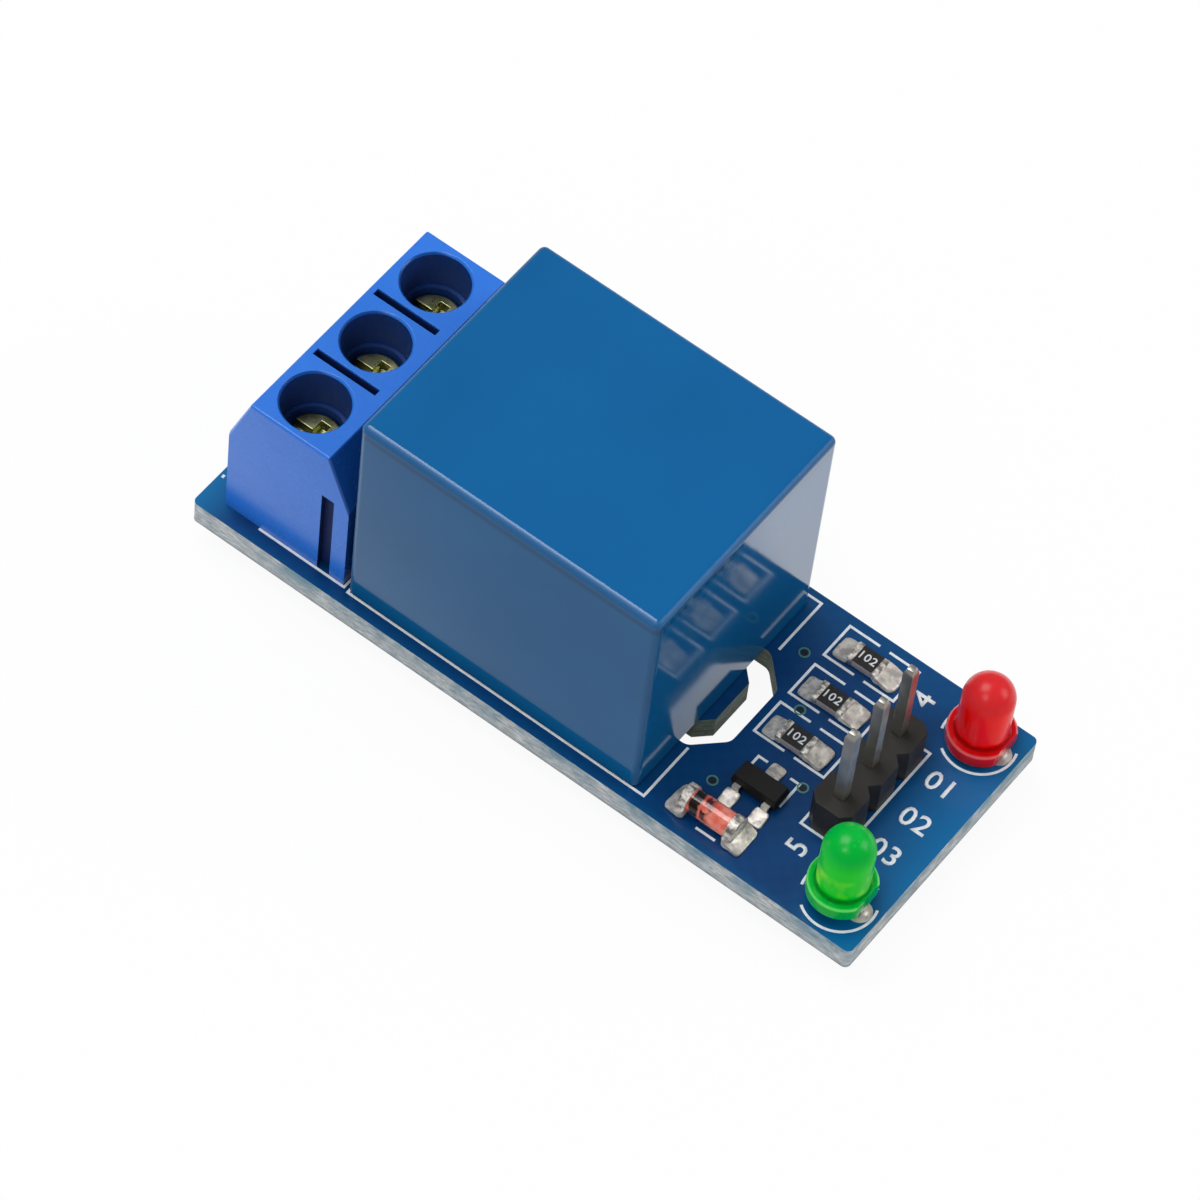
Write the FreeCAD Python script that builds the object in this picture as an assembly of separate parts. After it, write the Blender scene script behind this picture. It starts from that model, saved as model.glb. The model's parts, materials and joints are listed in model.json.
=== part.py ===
import FreeCAD, Part
import math
import os

V = FreeCAD.Vector

# Board and solder tails. Everything stands on the trimmed tips of the solder tails at Z 0.
TAIL = 1.5                 # pin length left below the board after trimming
BOARD_THICK = 1.6
BOARD_WIDTH = 17.0
BOARD_CORNER_R = 0.35
HOLE_PLAY = 0.15           # drilled hole radius beyond the pin's half diagonal

# Order of the parts along X, from the screw terminal's end of the board
TERM_INSET = 1.45          # board edge to the terminal's wire side
RELAY_GAP = 0.4            # terminal's back to the relay
CHIP_GAP = 4.75            # relay to the middle of the column of chip parts
HEADER_STEP = 4.45         # chip column to the pin row
LED_STEP = 2.9             # pin row to the lamps' middle
LED_INSET = 2.4            # lamps' middle to the far board edge

# Screw terminal housing, three poles side by side
POLES = 3
TERM_PITCH = 5.08
TERM_END_RELIEF = 0.14     # each end stops this far short of a full pitch
TERM_DEPTH = 8.05
TERM_HEIGHT = 10.25
TERM_SHOULDER = 6.7        # height where the front and back start to lean in
TERM_FRONT_LEAN = 1.3
TERM_BACK_LEAN = 1.5
TERM_EDGE_R = 0.15
TERM_AXIS = 3.75           # wire side to the screw axis
WELL_R = 1.9               # screwdriver well
WELL_DEPTH = 2.75          # down to the narrower guide of the screw head
WELL_RIM = 0.12
GUIDE_LEDGE = 0.2          # width of the step between well and guide
HEAD_PLAY = 0.1            # screw head to its guide
DIVIDER_WIDTH = 0.45       # narrow slots between the poles on the top
DIVIDER_LENGTH = 4.15
DIVIDER_DEPTH = 2.2
DOVE_WIDTH = 0.8           # joining groove and rib on the two ends
DOVE_DEPTH = 0.5
DOVE_FLARE = 0.12
DOVE_SETBACK = 1.0         # groove edge to the terminal's back
DOVE_PLAY = 0.06
ENTRY_WIDTH = 2.8          # wire entry behind its funnel
ENTRY_HEIGHT = 2.9
ENTRY_FLARE = 0.5
ENTRY_FUNNEL = 0.9

# Clamp frame, pressure plate and screw of one pole
FRAME_LIFT = 0.5           # board to the frame's underside
FRAME_LENGTH = 4.0
FRAME_WIDTH = 3.6
FRAME_HEIGHT = 4.7
FRAME_TOP = 1.2
FRAME_FLOOR = 0.7
FRAME_SIDE = 0.5
FRAME_BEVEL = 0.25
FRAME_PLAY = 0.1           # frame to its pocket
FRAME_TAIL = 0.9           # square solder tail
PLATE_THICK = 0.4
PLATE_LENGTH = 3.4
PLATE_PLAY = 0.1           # plate to the frame's floor and sides
SCREW_R = 1.25
SCREW_SHANK = 3.9
THREAD_PLAY = 0.05
HEAD_HEIGHT = 1.5
HEAD_CHAMFER = 0.15
RIVET_R = 0.7              # neck that carries the pressure plate
RIVET_PLAY = 0.06
RIVET_FLARE = 0.22
DRIVE_WIDTH = 0.6          # crossed driver slots
DRIVE_DEPTH = 0.7
CROSS_LENGTH = 2.1         # shorter slot of the cross

# Relay case and base
RELAY_LENGTH = 19.2
RELAY_WIDTH = 15.4
RELAY_HEIGHT = 15.3
RELAY_WALL = 0.8
RELAY_EDGE_R = 0.4
CASE_LIFT = 0.2            # board to the case's rim
BASE_LIFT = 0.5            # board to the base, bridged by the stand-off nubs
BASE_THICK = 1.2
BASE_PLAY = 0.05
NUB = 1.2

# Relay pin pattern
COMMON_INSET = 2.1         # common pin to the relay's end over the slot
COIL_PIN_BACK = 2.0        # common pin to the two coil pins
CONTACT_INSET = 2.9        # two fixed contacts' pins to the relay's other end
PIN_INSET = 0.9            # outer pins to the inside of the case's side walls
COIL_PIN = 0.6
BLADE_WIDTH = 0.9
BLADE_THICK = 0.4
PIN_PLAY = 0.05

# Magnet: yoke, core, bobbin, winding and armature
YOKE_BACK = 2.3            # common pin to the yoke's back
YOKE_THICK = 1.0
YOKE_INSET = 0.6           # yoke's sides inside the bobbin's flange
YOKE_SEAT = 0.1            # base to the yoke's foot
CORE_R = 1.6
POLE_INSET = 1.4           # pole face inside the bobbin's flange
POLE_THICK = 0.8
POLE_HEIGHT = 10.6         # board to the pole face
BOBBIN_WALL = 0.55
BOBBIN_GAP = 0.5           # bobbin's flange to the yoke
BOBBIN_CLEAR = 1.2         # contact pins to the bobbin's flange
BOBBIN_FLANGE = 0.7
COIL_INSET = 0.25          # winding inside the bobbin's flange
MAGNET_PLAY = 0.05
ARMATURE_THICK = 0.9
ARMATURE_HEEL = 0.2        # armature past the yoke's edge
ARMATURE_SHORT = 1.15      # armature's free end to the moving contact
ARMATURE_SWING = 4.5       # degrees between released and pulled in
SPRING_THICK = 0.2
SPRING_WIDTH = 4.0
SPRING_BEYOND = 0.15       # leaf past the moving contact
CONTACT_R = 0.95
CONTACT_RISE = 0.3
CONTACT_GAP = 0.05         # touching contacts are drawn this far apart
TONGUE_WIDTH = 2.0
BLADE_SPREAD = 1.6         # width of the blades above the base

# Milled slot that keeps the mains contact apart from the low-voltage side
SLOT_WIDTH = 1.45
SLOT_REACH = 3.45          # common pin to the slot's middle line
SLOT_HALF = 3.03
SLOT_CORNER = 1.25
SLOT_ARM = 1.4             # how far the arms run back past the common pin

# Pin header
HEADER_PINS = 3
HEADER_PITCH = 2.54
HEADER_WIDTH = 2.54
HEADER_HEIGHT = 2.54
HEADER_NOTCH = 0.5
HEADER_SHIFT = 0.16        # pin row's middle off the board's middle
PIN_SIZE = 0.64
PIN_FREE = 6.0             # pin above the plastic
PIN_POINT = 0.45           # tapered length at the ends of pins
TIP_SHARE = 0.6            # width of a tip over the width of its pin

# Chip resistors
RESISTORS = 3
RESISTOR_PITCH = 3.18
RESISTOR_FIRST = 0.07      # lowest resistor off the board's middle
CHIP_LENGTH = 2.0
CHIP_WIDTH = 1.25
CHIP_HEIGHT = 0.5
CHIP_CAP = 0.36
CAP_PROUD = 0.03
PAD_LIFT = 0.05            # copper and solder under a chip part
FILLET_RUN = 0.75
FILLET_RISE = 0.42

# Transistor
TRANSISTOR_STEP = 3.1      # diode to the transistor
TRANSISTOR_X = 0.3         # off the chip column
TR_LENGTH = 2.9
TR_WIDTH = 1.35
TR_HEIGHT = 0.95
TR_TAPER = 0.1
TR_LIFT = 0.1
LEAD_WIDTH = 0.42
LEAD_THICK = 0.13
LEAD_SPREAD = 0.95
LEAD_REACH = 1.25          # middle to the toe
LEAD_FOOT = 0.4

# Glass diode
DIODE_INSET = 1.8          # near board edge to the diode
DIODE_X = -0.55            # off the chip column
DIODE_LENGTH = 3.5
DIODE_R = 0.72
DIODE_CAP = 0.5
DIODE_CAP_R = 0.79
DIODE_FILLET_RUN = 0.5
DIODE_FILLET_RISE = 0.8
DIODE_FILLET_WIDTH = 1.7

# Lamps
LED_R = 1.45
LED_FLANGE_R = 1.9
LED_FLANGE = 1.0
LED_DOME = 3.9             # flange underside to the dome's centre
LED_FLAT = 1.6
LED_LEAD = 0.5
LED_LEAD_PITCH = 2.54
LED_FRAME = 2.4            # lead frame inside the lens
LED_CUP = 0.9
LED_SPLIT = 0.3            # post to cup
RED_INSET = 2.1            # far board edge to the red lamp
RED_LIFT = 0.3
GREEN_INSET = 2.4          # near board edge to the green lamp
GREEN_LIFT = 0.8

# Solder round the tails
SOLDER_SPREAD = 0.5        # pad beyond the tail's half diagonal
SOLDER_NECK = 0.06         # cone's narrow end beyond the tail's half diagonal
SOLDER_HEIGHT = 0.95       # cone below the board
SOLDER_FILL = 1.45         # how far it has risen up the hole
SOLDER_SIDES = 12          # corners of its outline, which stands for a round one

# Places that follow from the sizes above
TERM_X = TERM_INSET
RELAY_X = TERM_X + TERM_DEPTH + RELAY_GAP
CHIP_X = RELAY_X + RELAY_LENGTH + CHIP_GAP
HEADER_X = CHIP_X + HEADER_STEP
LED_X = HEADER_X + LED_STEP
BOARD_LENGTH = LED_X + LED_INSET
X0 = -BOARD_LENGTH / 2
Z_UNDER = TAIL
Z_TOP = TAIL + BOARD_THICK
COMMON_X = X0 + RELAY_X + RELAY_LENGTH - COMMON_INSET
SCREW_X = X0 + TERM_X + TERM_AXIS
CONTACT_X = X0 + RELAY_X + CONTACT_INSET
PIN_SPREAD = RELAY_WIDTH / 2 - RELAY_WALL - PIN_INSET
DIODE_Y = DIODE_INSET - BOARD_WIDTH / 2
TRANSISTOR_Y = DIODE_Y + TRANSISTOR_STEP
RED_Y = BOARD_WIDTH / 2 - RED_INSET
GREEN_Y = GREEN_INSET - BOARD_WIDTH / 2


def box(x0, x1, y0, y1, z0, z1):
    return Part.makeBox(x1 - x0, y1 - y0, z1 - z0, V(x0, y0, z0))


def block(cx, cy, z0, dx, dy, dz):
    """Box on its middle in X and Y, from z0 up."""
    return Part.makeBox(dx, dy, dz, V(cx - dx / 2, cy - dy / 2, z0))


def rod(cx, cy, z0, r, height):
    return Part.makeCylinder(r, height, V(cx, cy, z0))


def polygon(points):
    return Part.Face(Part.makePolygon(points + [points[0]]))


def extrude_xz(points, y0, y1):
    """Prism along Y from an outline in X and Z."""
    return polygon([V(x, y0, z) for x, z in points]).extrude(V(0, y1 - y0, 0))


def extrude_xy(points, z0, z1):
    return polygon([V(x, y, z0) for x, y in points]).extrude(V(0, 0, z1 - z0))


def turned(cx, cy, outline):
    """Solid of revolution about a vertical axis, from an outline of radius and height."""
    face = polygon([V(cx + r, cy, z) for r, z in outline])
    return face.revolve(V(cx, cy, 0), V(0, 0, 1), 360)


def fuse(shapes):
    return shapes[0].fuse(shapes[1:]).removeSplitter() if len(shapes) > 1 else shapes[0]


def tapered(start, end):
    """Flat-sided solid between two outlines that have as many corners."""
    sides = [polygon([start[i - 1], start[i], end[i], end[i - 1]]) for i in range(len(start))]
    return Part.Solid(Part.Shell([polygon(start), polygon(end)] + sides))


def frustum(cx, cy, z0, z1, side0, side1, tall0=None, tall1=None):
    """Square or rectangular bar that tapers from one end to the other along Z."""
    def ring(z, a, b):
        return [V(cx + sx * a / 2, cy + sy * b / 2, z) for sx, sy in ((-1, -1), (1, -1), (1, 1), (-1, 1))]
    return tapered(ring(z0, side0, tall0 or side0), ring(z1, side1, tall1 or side1))


def square_tail(x, y, side, top):
    """Square pin from the pointed tip at Z 0 up to its top."""
    return fuse([block(x, y, PIN_POINT, side, side, top - PIN_POINT),
                 frustum(x, y, 0, PIN_POINT, side * TIP_SHARE, side)])


def milled_slot(points, width, z0, z1):
    """What a round cutter of this width takes out along a line of points."""
    half = width / 2
    parts = [rod(x, y, z0, half, z1 - z0) for x, y in points]
    for (ax, ay), (bx, by) in zip(points, points[1:]):
        length = math.hypot(bx - ax, by - ay)
        nx, ny = -(by - ay) / length * half, (bx - ax) / length * half
        parts.append(extrude_xy([(ax + nx, ay + ny), (bx + nx, by + ny),
                                 (bx - nx, by - ny), (ax - nx, ay - ny)], z0, z1))
    return fuse(parts)


def pole_ys():
    return [(i - (POLES - 1) / 2) * TERM_PITCH for i in range(POLES)]


def header_ys():
    return [HEADER_SHIFT + (i - (HEADER_PINS - 1) / 2) * HEADER_PITCH for i in range(HEADER_PINS)]


def led_xs():
    middle = X0 + LED_X
    return middle - LED_LEAD_PITCH / 2, middle + LED_LEAD_PITCH / 2


def tail_places():
    """Every soldered tail: its middle and its half diagonal."""
    blade = math.hypot(BLADE_WIDTH, BLADE_THICK) / 2
    places = [(SCREW_X, y, FRAME_TAIL * math.sqrt(0.5)) for y in pole_ys()]
    places.append((COMMON_X, 0.0, blade))
    for side in (-1, 1):
        places.append((COMMON_X - COIL_PIN_BACK, side * PIN_SPREAD, COIL_PIN * math.sqrt(0.5)))
        places.append((CONTACT_X, side * PIN_SPREAD, blade))
    places += [(X0 + HEADER_X, y, PIN_SIZE * math.sqrt(0.5)) for y in header_ys()]
    places += [(x, y, LED_LEAD * math.sqrt(0.5)) for x in led_xs() for y in (RED_Y, GREEN_Y)]
    return places


def circuit_board():
    board = box(X0, -X0, -BOARD_WIDTH / 2, BOARD_WIDTH / 2, Z_UNDER, Z_TOP)
    corners = [e for e in board.Edges if abs(e.Vertexes[0].X - e.Vertexes[1].X) < 1e-6
               and abs(e.Vertexes[0].Y - e.Vertexes[1].Y) < 1e-6]
    board = board.makeFillet(BOARD_CORNER_R, corners)
    arm, reach = COMMON_X - SLOT_ARM, COMMON_X + SLOT_REACH
    path = [(arm, -SLOT_HALF), (reach - SLOT_CORNER, -SLOT_HALF), (reach, SLOT_CORNER - SLOT_HALF),
            (reach, SLOT_HALF - SLOT_CORNER), (reach - SLOT_CORNER, SLOT_HALF), (arm, SLOT_HALF)]
    cuts = [milled_slot(path, SLOT_WIDTH, Z_UNDER, Z_TOP)]
    cuts += [rod(x, y, Z_UNDER, half + HOLE_PLAY, BOARD_THICK) for x, y, half in tail_places()]
    return board.cut(cuts)


# Heights in one pole of the screw terminal, above the board
FRAME_Z = Z_TOP + FRAME_LIFT
FLOOR_Z = FRAME_Z + FRAME_FLOOR
PLATE_Z = FLOOR_Z + PLATE_PLAY
SHANK_Z = PLATE_Z + PLATE_THICK + RIVET_PLAY
HEAD_Z = SHANK_Z + SCREW_SHANK
WELL_Z = Z_TOP + TERM_HEIGHT - WELL_DEPTH
GUIDE_R = WELL_R - GUIDE_LEDGE
HEAD_R = GUIDE_R - HEAD_PLAY


def dovetail(x_back, y_face, outward, depth, width, flare, z0, z1):
    """Bar with its narrow side on the face at y_face, wider at its depth."""
    mid = x_back - DOVE_SETBACK - DOVE_WIDTH / 2
    near, far = width / 2, width / 2 + flare
    outline = [(mid - near, y_face), (mid + near, y_face),
               (mid + far, y_face + outward * depth), (mid - far, y_face + outward * depth)]
    return extrude_xy(outline, z0, z1)


def terminal_housing():
    front, back = X0 + TERM_X, X0 + TERM_X + TERM_DEPTH
    top, shoulder = Z_TOP + TERM_HEIGHT, Z_TOP + TERM_SHOULDER
    half = POLES * TERM_PITCH / 2 - TERM_END_RELIEF
    body = extrude_xz([(front, Z_TOP), (back, Z_TOP), (back, shoulder), (back - TERM_BACK_LEAN, top),
                       (front + TERM_FRONT_LEAN, top), (front, shoulder)], -half, half)
    upper = [e for e in body.Edges if min(v.Z for v in e.Vertexes) > shoulder - 1e-6]
    body = body.makeFillet(TERM_EDGE_R, upper)
    cuts = []
    pocket_top = FRAME_Z + FRAME_HEIGHT + FRAME_PLAY
    pocket_x = FRAME_LENGTH / 2 + FRAME_PLAY
    pocket_y = FRAME_WIDTH / 2 + FRAME_PLAY
    for y in pole_ys():
        cuts.append(box(SCREW_X - pocket_x, SCREW_X + pocket_x, y - pocket_y, y + pocket_y,
                        Z_TOP, pocket_top))
        cuts.append(turned(SCREW_X, y, [(0, pocket_top), (GUIDE_R, pocket_top), (GUIDE_R, WELL_Z),
                                        (WELL_R, WELL_Z), (WELL_R, top - WELL_RIM),
                                        (WELL_R + WELL_RIM, top), (0, top)]))
        cuts.append(wire_entry(front, y, FLOOR_Z, SCREW_X - pocket_x - front))
    for y in pole_ys()[:-1]:
        cuts.append(block(SCREW_X, y + TERM_PITCH / 2, top - DIVIDER_DEPTH,
                          DIVIDER_LENGTH, DIVIDER_WIDTH, DIVIDER_DEPTH))
    cuts.append(dovetail(back, -half, 1, DOVE_DEPTH, DOVE_WIDTH, DOVE_FLARE, Z_TOP, shoulder))
    rib = dovetail(back, half, 1, DOVE_DEPTH - DOVE_PLAY, DOVE_WIDTH - 2 * DOVE_PLAY, DOVE_FLARE,
                   Z_TOP, shoulder - DOVE_PLAY)
    return body.cut(cuts).fuse(rib).removeSplitter()


def wire_entry(front, y, z0, depth):
    """Funnel on the wire side, then a straight way into the pole's pocket."""
    def ring(x, flare):
        w, low, high = ENTRY_WIDTH / 2 + flare, z0 - flare, z0 + ENTRY_HEIGHT + flare
        return [V(x, y - w, low), V(x, y + w, low), V(x, y + w, high), V(x, y - w, high)]
    funnel = tapered(ring(front, ENTRY_FLARE), ring(front + ENTRY_FUNNEL, 0))
    way = box(front, front + depth, y - ENTRY_WIDTH / 2, y + ENTRY_WIDTH / 2, z0, z0 + ENTRY_HEIGHT)
    return funnel.fuse(way)


def terminal_frame(y):
    """Folded frame round the wire space, tapped on top, with its solder tail."""
    half_x, half_y = FRAME_LENGTH / 2, FRAME_WIDTH / 2
    frame = box(SCREW_X - half_x, SCREW_X + half_x, y - half_y, y + half_y,
                FRAME_Z, FRAME_Z + FRAME_HEIGHT)
    corners = [e for e in frame.Edges if abs(e.Vertexes[0].X - e.Vertexes[1].X) > 1]
    frame = frame.makeChamfer(FRAME_BEVEL, corners)
    window = box(SCREW_X - half_x, SCREW_X + half_x, y - half_y + FRAME_SIDE, y + half_y - FRAME_SIDE,
                 FLOOR_Z, FRAME_Z + FRAME_HEIGHT - FRAME_TOP)
    tap = rod(SCREW_X, y, FLOOR_Z, SCREW_R + THREAD_PLAY, FRAME_HEIGHT)
    return frame.cut([window, tap]).fuse(square_tail(SCREW_X, y, FRAME_TAIL, FRAME_Z)).removeSplitter()


def pressure_plate(y):
    """Plate that the screw presses on the wire, countersunk for the screw's riveted neck."""
    width = FRAME_WIDTH - 2 * (FRAME_SIDE + PLATE_PLAY)
    plate = block(SCREW_X, y, PLATE_Z, PLATE_LENGTH, width, PLATE_THICK)
    r = RIVET_R + RIVET_PLAY
    hole = turned(SCREW_X, y, [(0, PLATE_Z), (r + RIVET_FLARE, PLATE_Z), (r, PLATE_Z + RIVET_FLARE),
                               (r, PLATE_Z + PLATE_THICK), (0, PLATE_Z + PLATE_THICK)])
    ends = [e for e in plate.Edges if abs(e.Vertexes[0].Y - e.Vertexes[1].Y) > 1
            and e.Vertexes[0].Z > PLATE_Z + PLATE_THICK / 2]
    return plate.makeChamfer(PLATE_THICK / 3, ends).cut(hole)


def terminal_screw(y):
    """Screw with a crossed head; its neck is riveted under the pressure plate."""
    head_top = HEAD_Z + HEAD_HEIGHT
    lip = PLATE_Z + RIVET_PLAY / 2
    body = turned(SCREW_X, y, [
        (0, lip), (RIVET_R + RIVET_FLARE - RIVET_PLAY, lip), (RIVET_R, lip + RIVET_FLARE),
        (RIVET_R, SHANK_Z), (SCREW_R, SHANK_Z), (SCREW_R, HEAD_Z),
        (HEAD_R, HEAD_Z), (HEAD_R, head_top - HEAD_CHAMFER), (HEAD_R - HEAD_CHAMFER, head_top),
        (0, head_top)])
    slots = [block(SCREW_X, y, head_top - DRIVE_DEPTH, 2 * HEAD_R + 1, DRIVE_WIDTH, DRIVE_DEPTH + 1),
             block(SCREW_X, y, head_top - DRIVE_DEPTH, DRIVE_WIDTH, CROSS_LENGTH, DRIVE_DEPTH + 1)]
    return body.cut(slots)


# Relay heights above the board
BASE_Z = Z_TOP + BASE_LIFT
BASE_TOP = BASE_Z + BASE_THICK
FOOT_Z = BASE_TOP + YOKE_SEAT
POLE_Z = Z_TOP + POLE_HEIGHT
YOKE_X = COMMON_X - YOKE_BACK          # yoke's back face, and the armature's hinge edge
BOBBIN_R = (YOKE_X - YOKE_THICK - BOBBIN_GAP - CONTACT_X - BOBBIN_CLEAR) / 2
CORE_X = CONTACT_X + BOBBIN_CLEAR + BOBBIN_R
YOKE_WIDTH = 2 * (BOBBIN_R - YOKE_INSET)
HINGE_Z = POLE_Z + MAGNET_PLAY / 2
RELAY_MID = X0 + RELAY_X + RELAY_LENGTH / 2


def relay_case():
    """Box open below, with its upright and top edges rounded."""
    z0 = Z_TOP + CASE_LIFT
    height = RELAY_HEIGHT - CASE_LIFT
    outer = block(RELAY_MID, 0, z0, RELAY_LENGTH, RELAY_WIDTH, height)
    rounded = [e for e in outer.Edges if max(v.Z for v in e.Vertexes) > z0 + height / 2]
    inner = block(RELAY_MID, 0, z0, RELAY_LENGTH - 2 * RELAY_WALL, RELAY_WIDTH - 2 * RELAY_WALL,
                  height - RELAY_WALL)
    return outer.makeFillet(RELAY_EDGE_R, rounded).cut(inner)


def relay_base():
    inset = 2 * (RELAY_WALL + BASE_PLAY)
    length, width = RELAY_LENGTH - inset, RELAY_WIDTH - inset
    base = [block(RELAY_MID, 0, BASE_Z, length, width, BASE_THICK)]
    for sx in (-1, 1):
        for sy in (-1, 1):
            base.append(block(RELAY_MID + sx * (length - NUB) / 2, sy * (width - NUB) / 2, Z_TOP,
                              NUB, NUB, BASE_LIFT))
    cuts = []
    for side in (-1, 1):
        coil = COIL_PIN + 2 * PIN_PLAY
        cuts.append(block(COMMON_X - COIL_PIN_BACK, side * PIN_SPREAD, BASE_Z, coil, coil, BASE_THICK))
        cuts.append(block(CONTACT_X, side * PIN_SPREAD, BASE_Z,
                          BLADE_THICK + 2 * PIN_PLAY, BLADE_WIDTH + 2 * PIN_PLAY, BASE_THICK))
    cuts.append(block(COMMON_X, 0, BASE_Z, BLADE_THICK + 2 * PIN_PLAY, BLADE_WIDTH + 2 * PIN_PLAY,
                      BASE_THICK))
    return fuse(base).cut(cuts)


def relay_yoke():
    foot_end = CORE_X - CORE_R - YOKE_THICK
    half = YOKE_WIDTH / 2
    yoke = extrude_xz([(foot_end, FOOT_Z), (YOKE_X, FOOT_Z), (YOKE_X, POLE_Z),
                       (YOKE_X - YOKE_THICK, POLE_Z), (YOKE_X - YOKE_THICK, FOOT_Z + YOKE_THICK),
                       (foot_end, FOOT_Z + YOKE_THICK)], -half, half)
    bend = [e for e in yoke.Edges if abs(e.Vertexes[0].Y - e.Vertexes[1].Y) > half
            and abs(e.Vertexes[0].X - YOKE_X) < 1e-6 and abs(e.Vertexes[0].Z - FOOT_Z) < 1e-6]
    yoke = yoke.makeFillet(YOKE_THICK * 0.8, bend)
    return yoke.cut(rod(CORE_X, 0, FOOT_Z, CORE_R + MAGNET_PLAY, YOKE_THICK))


def relay_core():
    return fuse([rod(CORE_X, 0, FOOT_Z, CORE_R, POLE_Z - FOOT_Z),
                 rod(CORE_X, 0, POLE_Z - POLE_THICK, BOBBIN_R - POLE_INSET, POLE_THICK)])


BOBBIN_Z = FOOT_Z + YOKE_THICK + MAGNET_PLAY
BOBBIN_TOP = POLE_Z - POLE_THICK - MAGNET_PLAY
TUBE_R = CORE_R + MAGNET_PLAY + BOBBIN_WALL


def relay_bobbin():
    """Flanged tube, with two ears beside the yoke that hold the winding's pins."""
    ear_x = COMMON_X - COIL_PIN_BACK
    ear = 2.5 * COIL_PIN
    parts = [rod(CORE_X, 0, BOBBIN_Z, TUBE_R, BOBBIN_TOP - BOBBIN_Z),
             rod(CORE_X, 0, BOBBIN_Z, BOBBIN_R, BOBBIN_FLANGE),
             rod(CORE_X, 0, BOBBIN_TOP - BOBBIN_FLANGE, BOBBIN_R, BOBBIN_FLANGE)]
    for side in (-1, 1):
        inner = YOKE_WIDTH / 2 + 2 * MAGNET_PLAY
        low, high = sorted((side * inner, side * (PIN_SPREAD + ear / 2)))
        parts.append(box(CORE_X, ear_x + ear / 2, low, high, BOBBIN_Z, BOBBIN_Z + BOBBIN_FLANGE))
        low, high = sorted((0, side * (inner + MAGNET_PLAY)))
        parts.append(box(CORE_X, CORE_X + CORE_R, low, high, BOBBIN_Z, BOBBIN_Z + BOBBIN_FLANGE))
    cuts = [rod(CORE_X, 0, BOBBIN_Z, CORE_R + MAGNET_PLAY, BOBBIN_TOP - BOBBIN_Z)]
    hole = COIL_PIN + 2 * PIN_PLAY
    cuts += [block(ear_x, side * PIN_SPREAD, BOBBIN_Z, hole, hole, BOBBIN_FLANGE) for side in (-1, 1)]
    return fuse(parts).cut(cuts)


def relay_coil():
    z0 = BOBBIN_Z + BOBBIN_FLANGE + MAGNET_PLAY
    height = BOBBIN_TOP - BOBBIN_FLANGE - MAGNET_PLAY - z0
    tube = TUBE_R + MAGNET_PLAY
    winding = rod(CORE_X, 0, z0, BOBBIN_R - COIL_INSET, height)
    return winding.cut(rod(CORE_X, 0, z0, tube, height))


def relay_coil_pin(side):
    top = BOBBIN_Z + BOBBIN_FLANGE + COIL_PIN
    return square_tail(COMMON_X - COIL_PIN_BACK, side * PIN_SPREAD, COIL_PIN, top)


def blade_tail(x, y, top):
    return fuse([block(x, y, PIN_POINT, BLADE_THICK, BLADE_WIDTH, top - PIN_POINT),
                 frustum(x, y, 0, PIN_POINT, BLADE_THICK * TIP_SHARE, BLADE_THICK,
                         BLADE_WIDTH * TIP_SHARE, BLADE_WIDTH)])


def relay_common():
    """Common terminal: pin, foot and a strap up the yoke's back."""
    strap_x = YOKE_X + MAGNET_PLAY
    z0 = BASE_TOP + MAGNET_PLAY
    half = BLADE_SPREAD / 2
    return fuse([blade_tail(COMMON_X, 0, z0 + BLADE_THICK),
                 box(strap_x, COMMON_X + BLADE_THICK / 2, -half, half, z0, z0 + BLADE_THICK),
                 box(strap_x, strap_x + BLADE_THICK, -half, half, z0, POLE_Z - YOKE_WIDTH / 2)])


def swing(shape):
    """Turns a piece drawn in its pulled-in place up to its released place."""
    moved = shape.copy()
    moved.rotate(V(YOKE_X, 0, HINGE_Z), V(0, 1, 0), ARMATURE_SWING)
    return moved


ARM_Z = POLE_Z + MAGNET_PLAY
SPRING_Z = ARM_Z + ARMATURE_THICK


def relay_armature():
    return swing(box(CONTACT_X + CONTACT_R + ARMATURE_SHORT, YOKE_X + ARMATURE_HEEL,
                     -YOKE_WIDTH / 2, YOKE_WIDTH / 2, ARM_Z, SPRING_Z))


def relay_spring():
    """Leaf on the armature with the moving contact riveted through its free end."""
    leaf = box(CONTACT_X - CONTACT_R - SPRING_BEYOND, YOKE_X - YOKE_THICK,
               -SPRING_WIDTH / 2, SPRING_WIDTH / 2, SPRING_Z, SPRING_Z + SPRING_THICK)
    contact = rod(CONTACT_X, 0, SPRING_Z - CONTACT_RISE, CONTACT_R, SPRING_THICK + 2 * CONTACT_RISE)
    return swing(fuse([leaf, contact]))


def contact_heights():
    """Undersides of the two fixed contacts' tongues, below and above the moving contact."""
    reach = YOKE_X - CONTACT_X + CONTACT_R
    up = SPRING_Z + SPRING_THICK + CONTACT_RISE - HINGE_Z
    angle = math.radians(ARMATURE_SWING)
    moving_top = HINGE_Z + up * math.cos(angle) + reach * math.sin(angle)
    low = SPRING_Z - CONTACT_RISE - CONTACT_GAP - CONTACT_RISE - BLADE_THICK
    return low, moving_top + CONTACT_GAP + CONTACT_RISE


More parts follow.
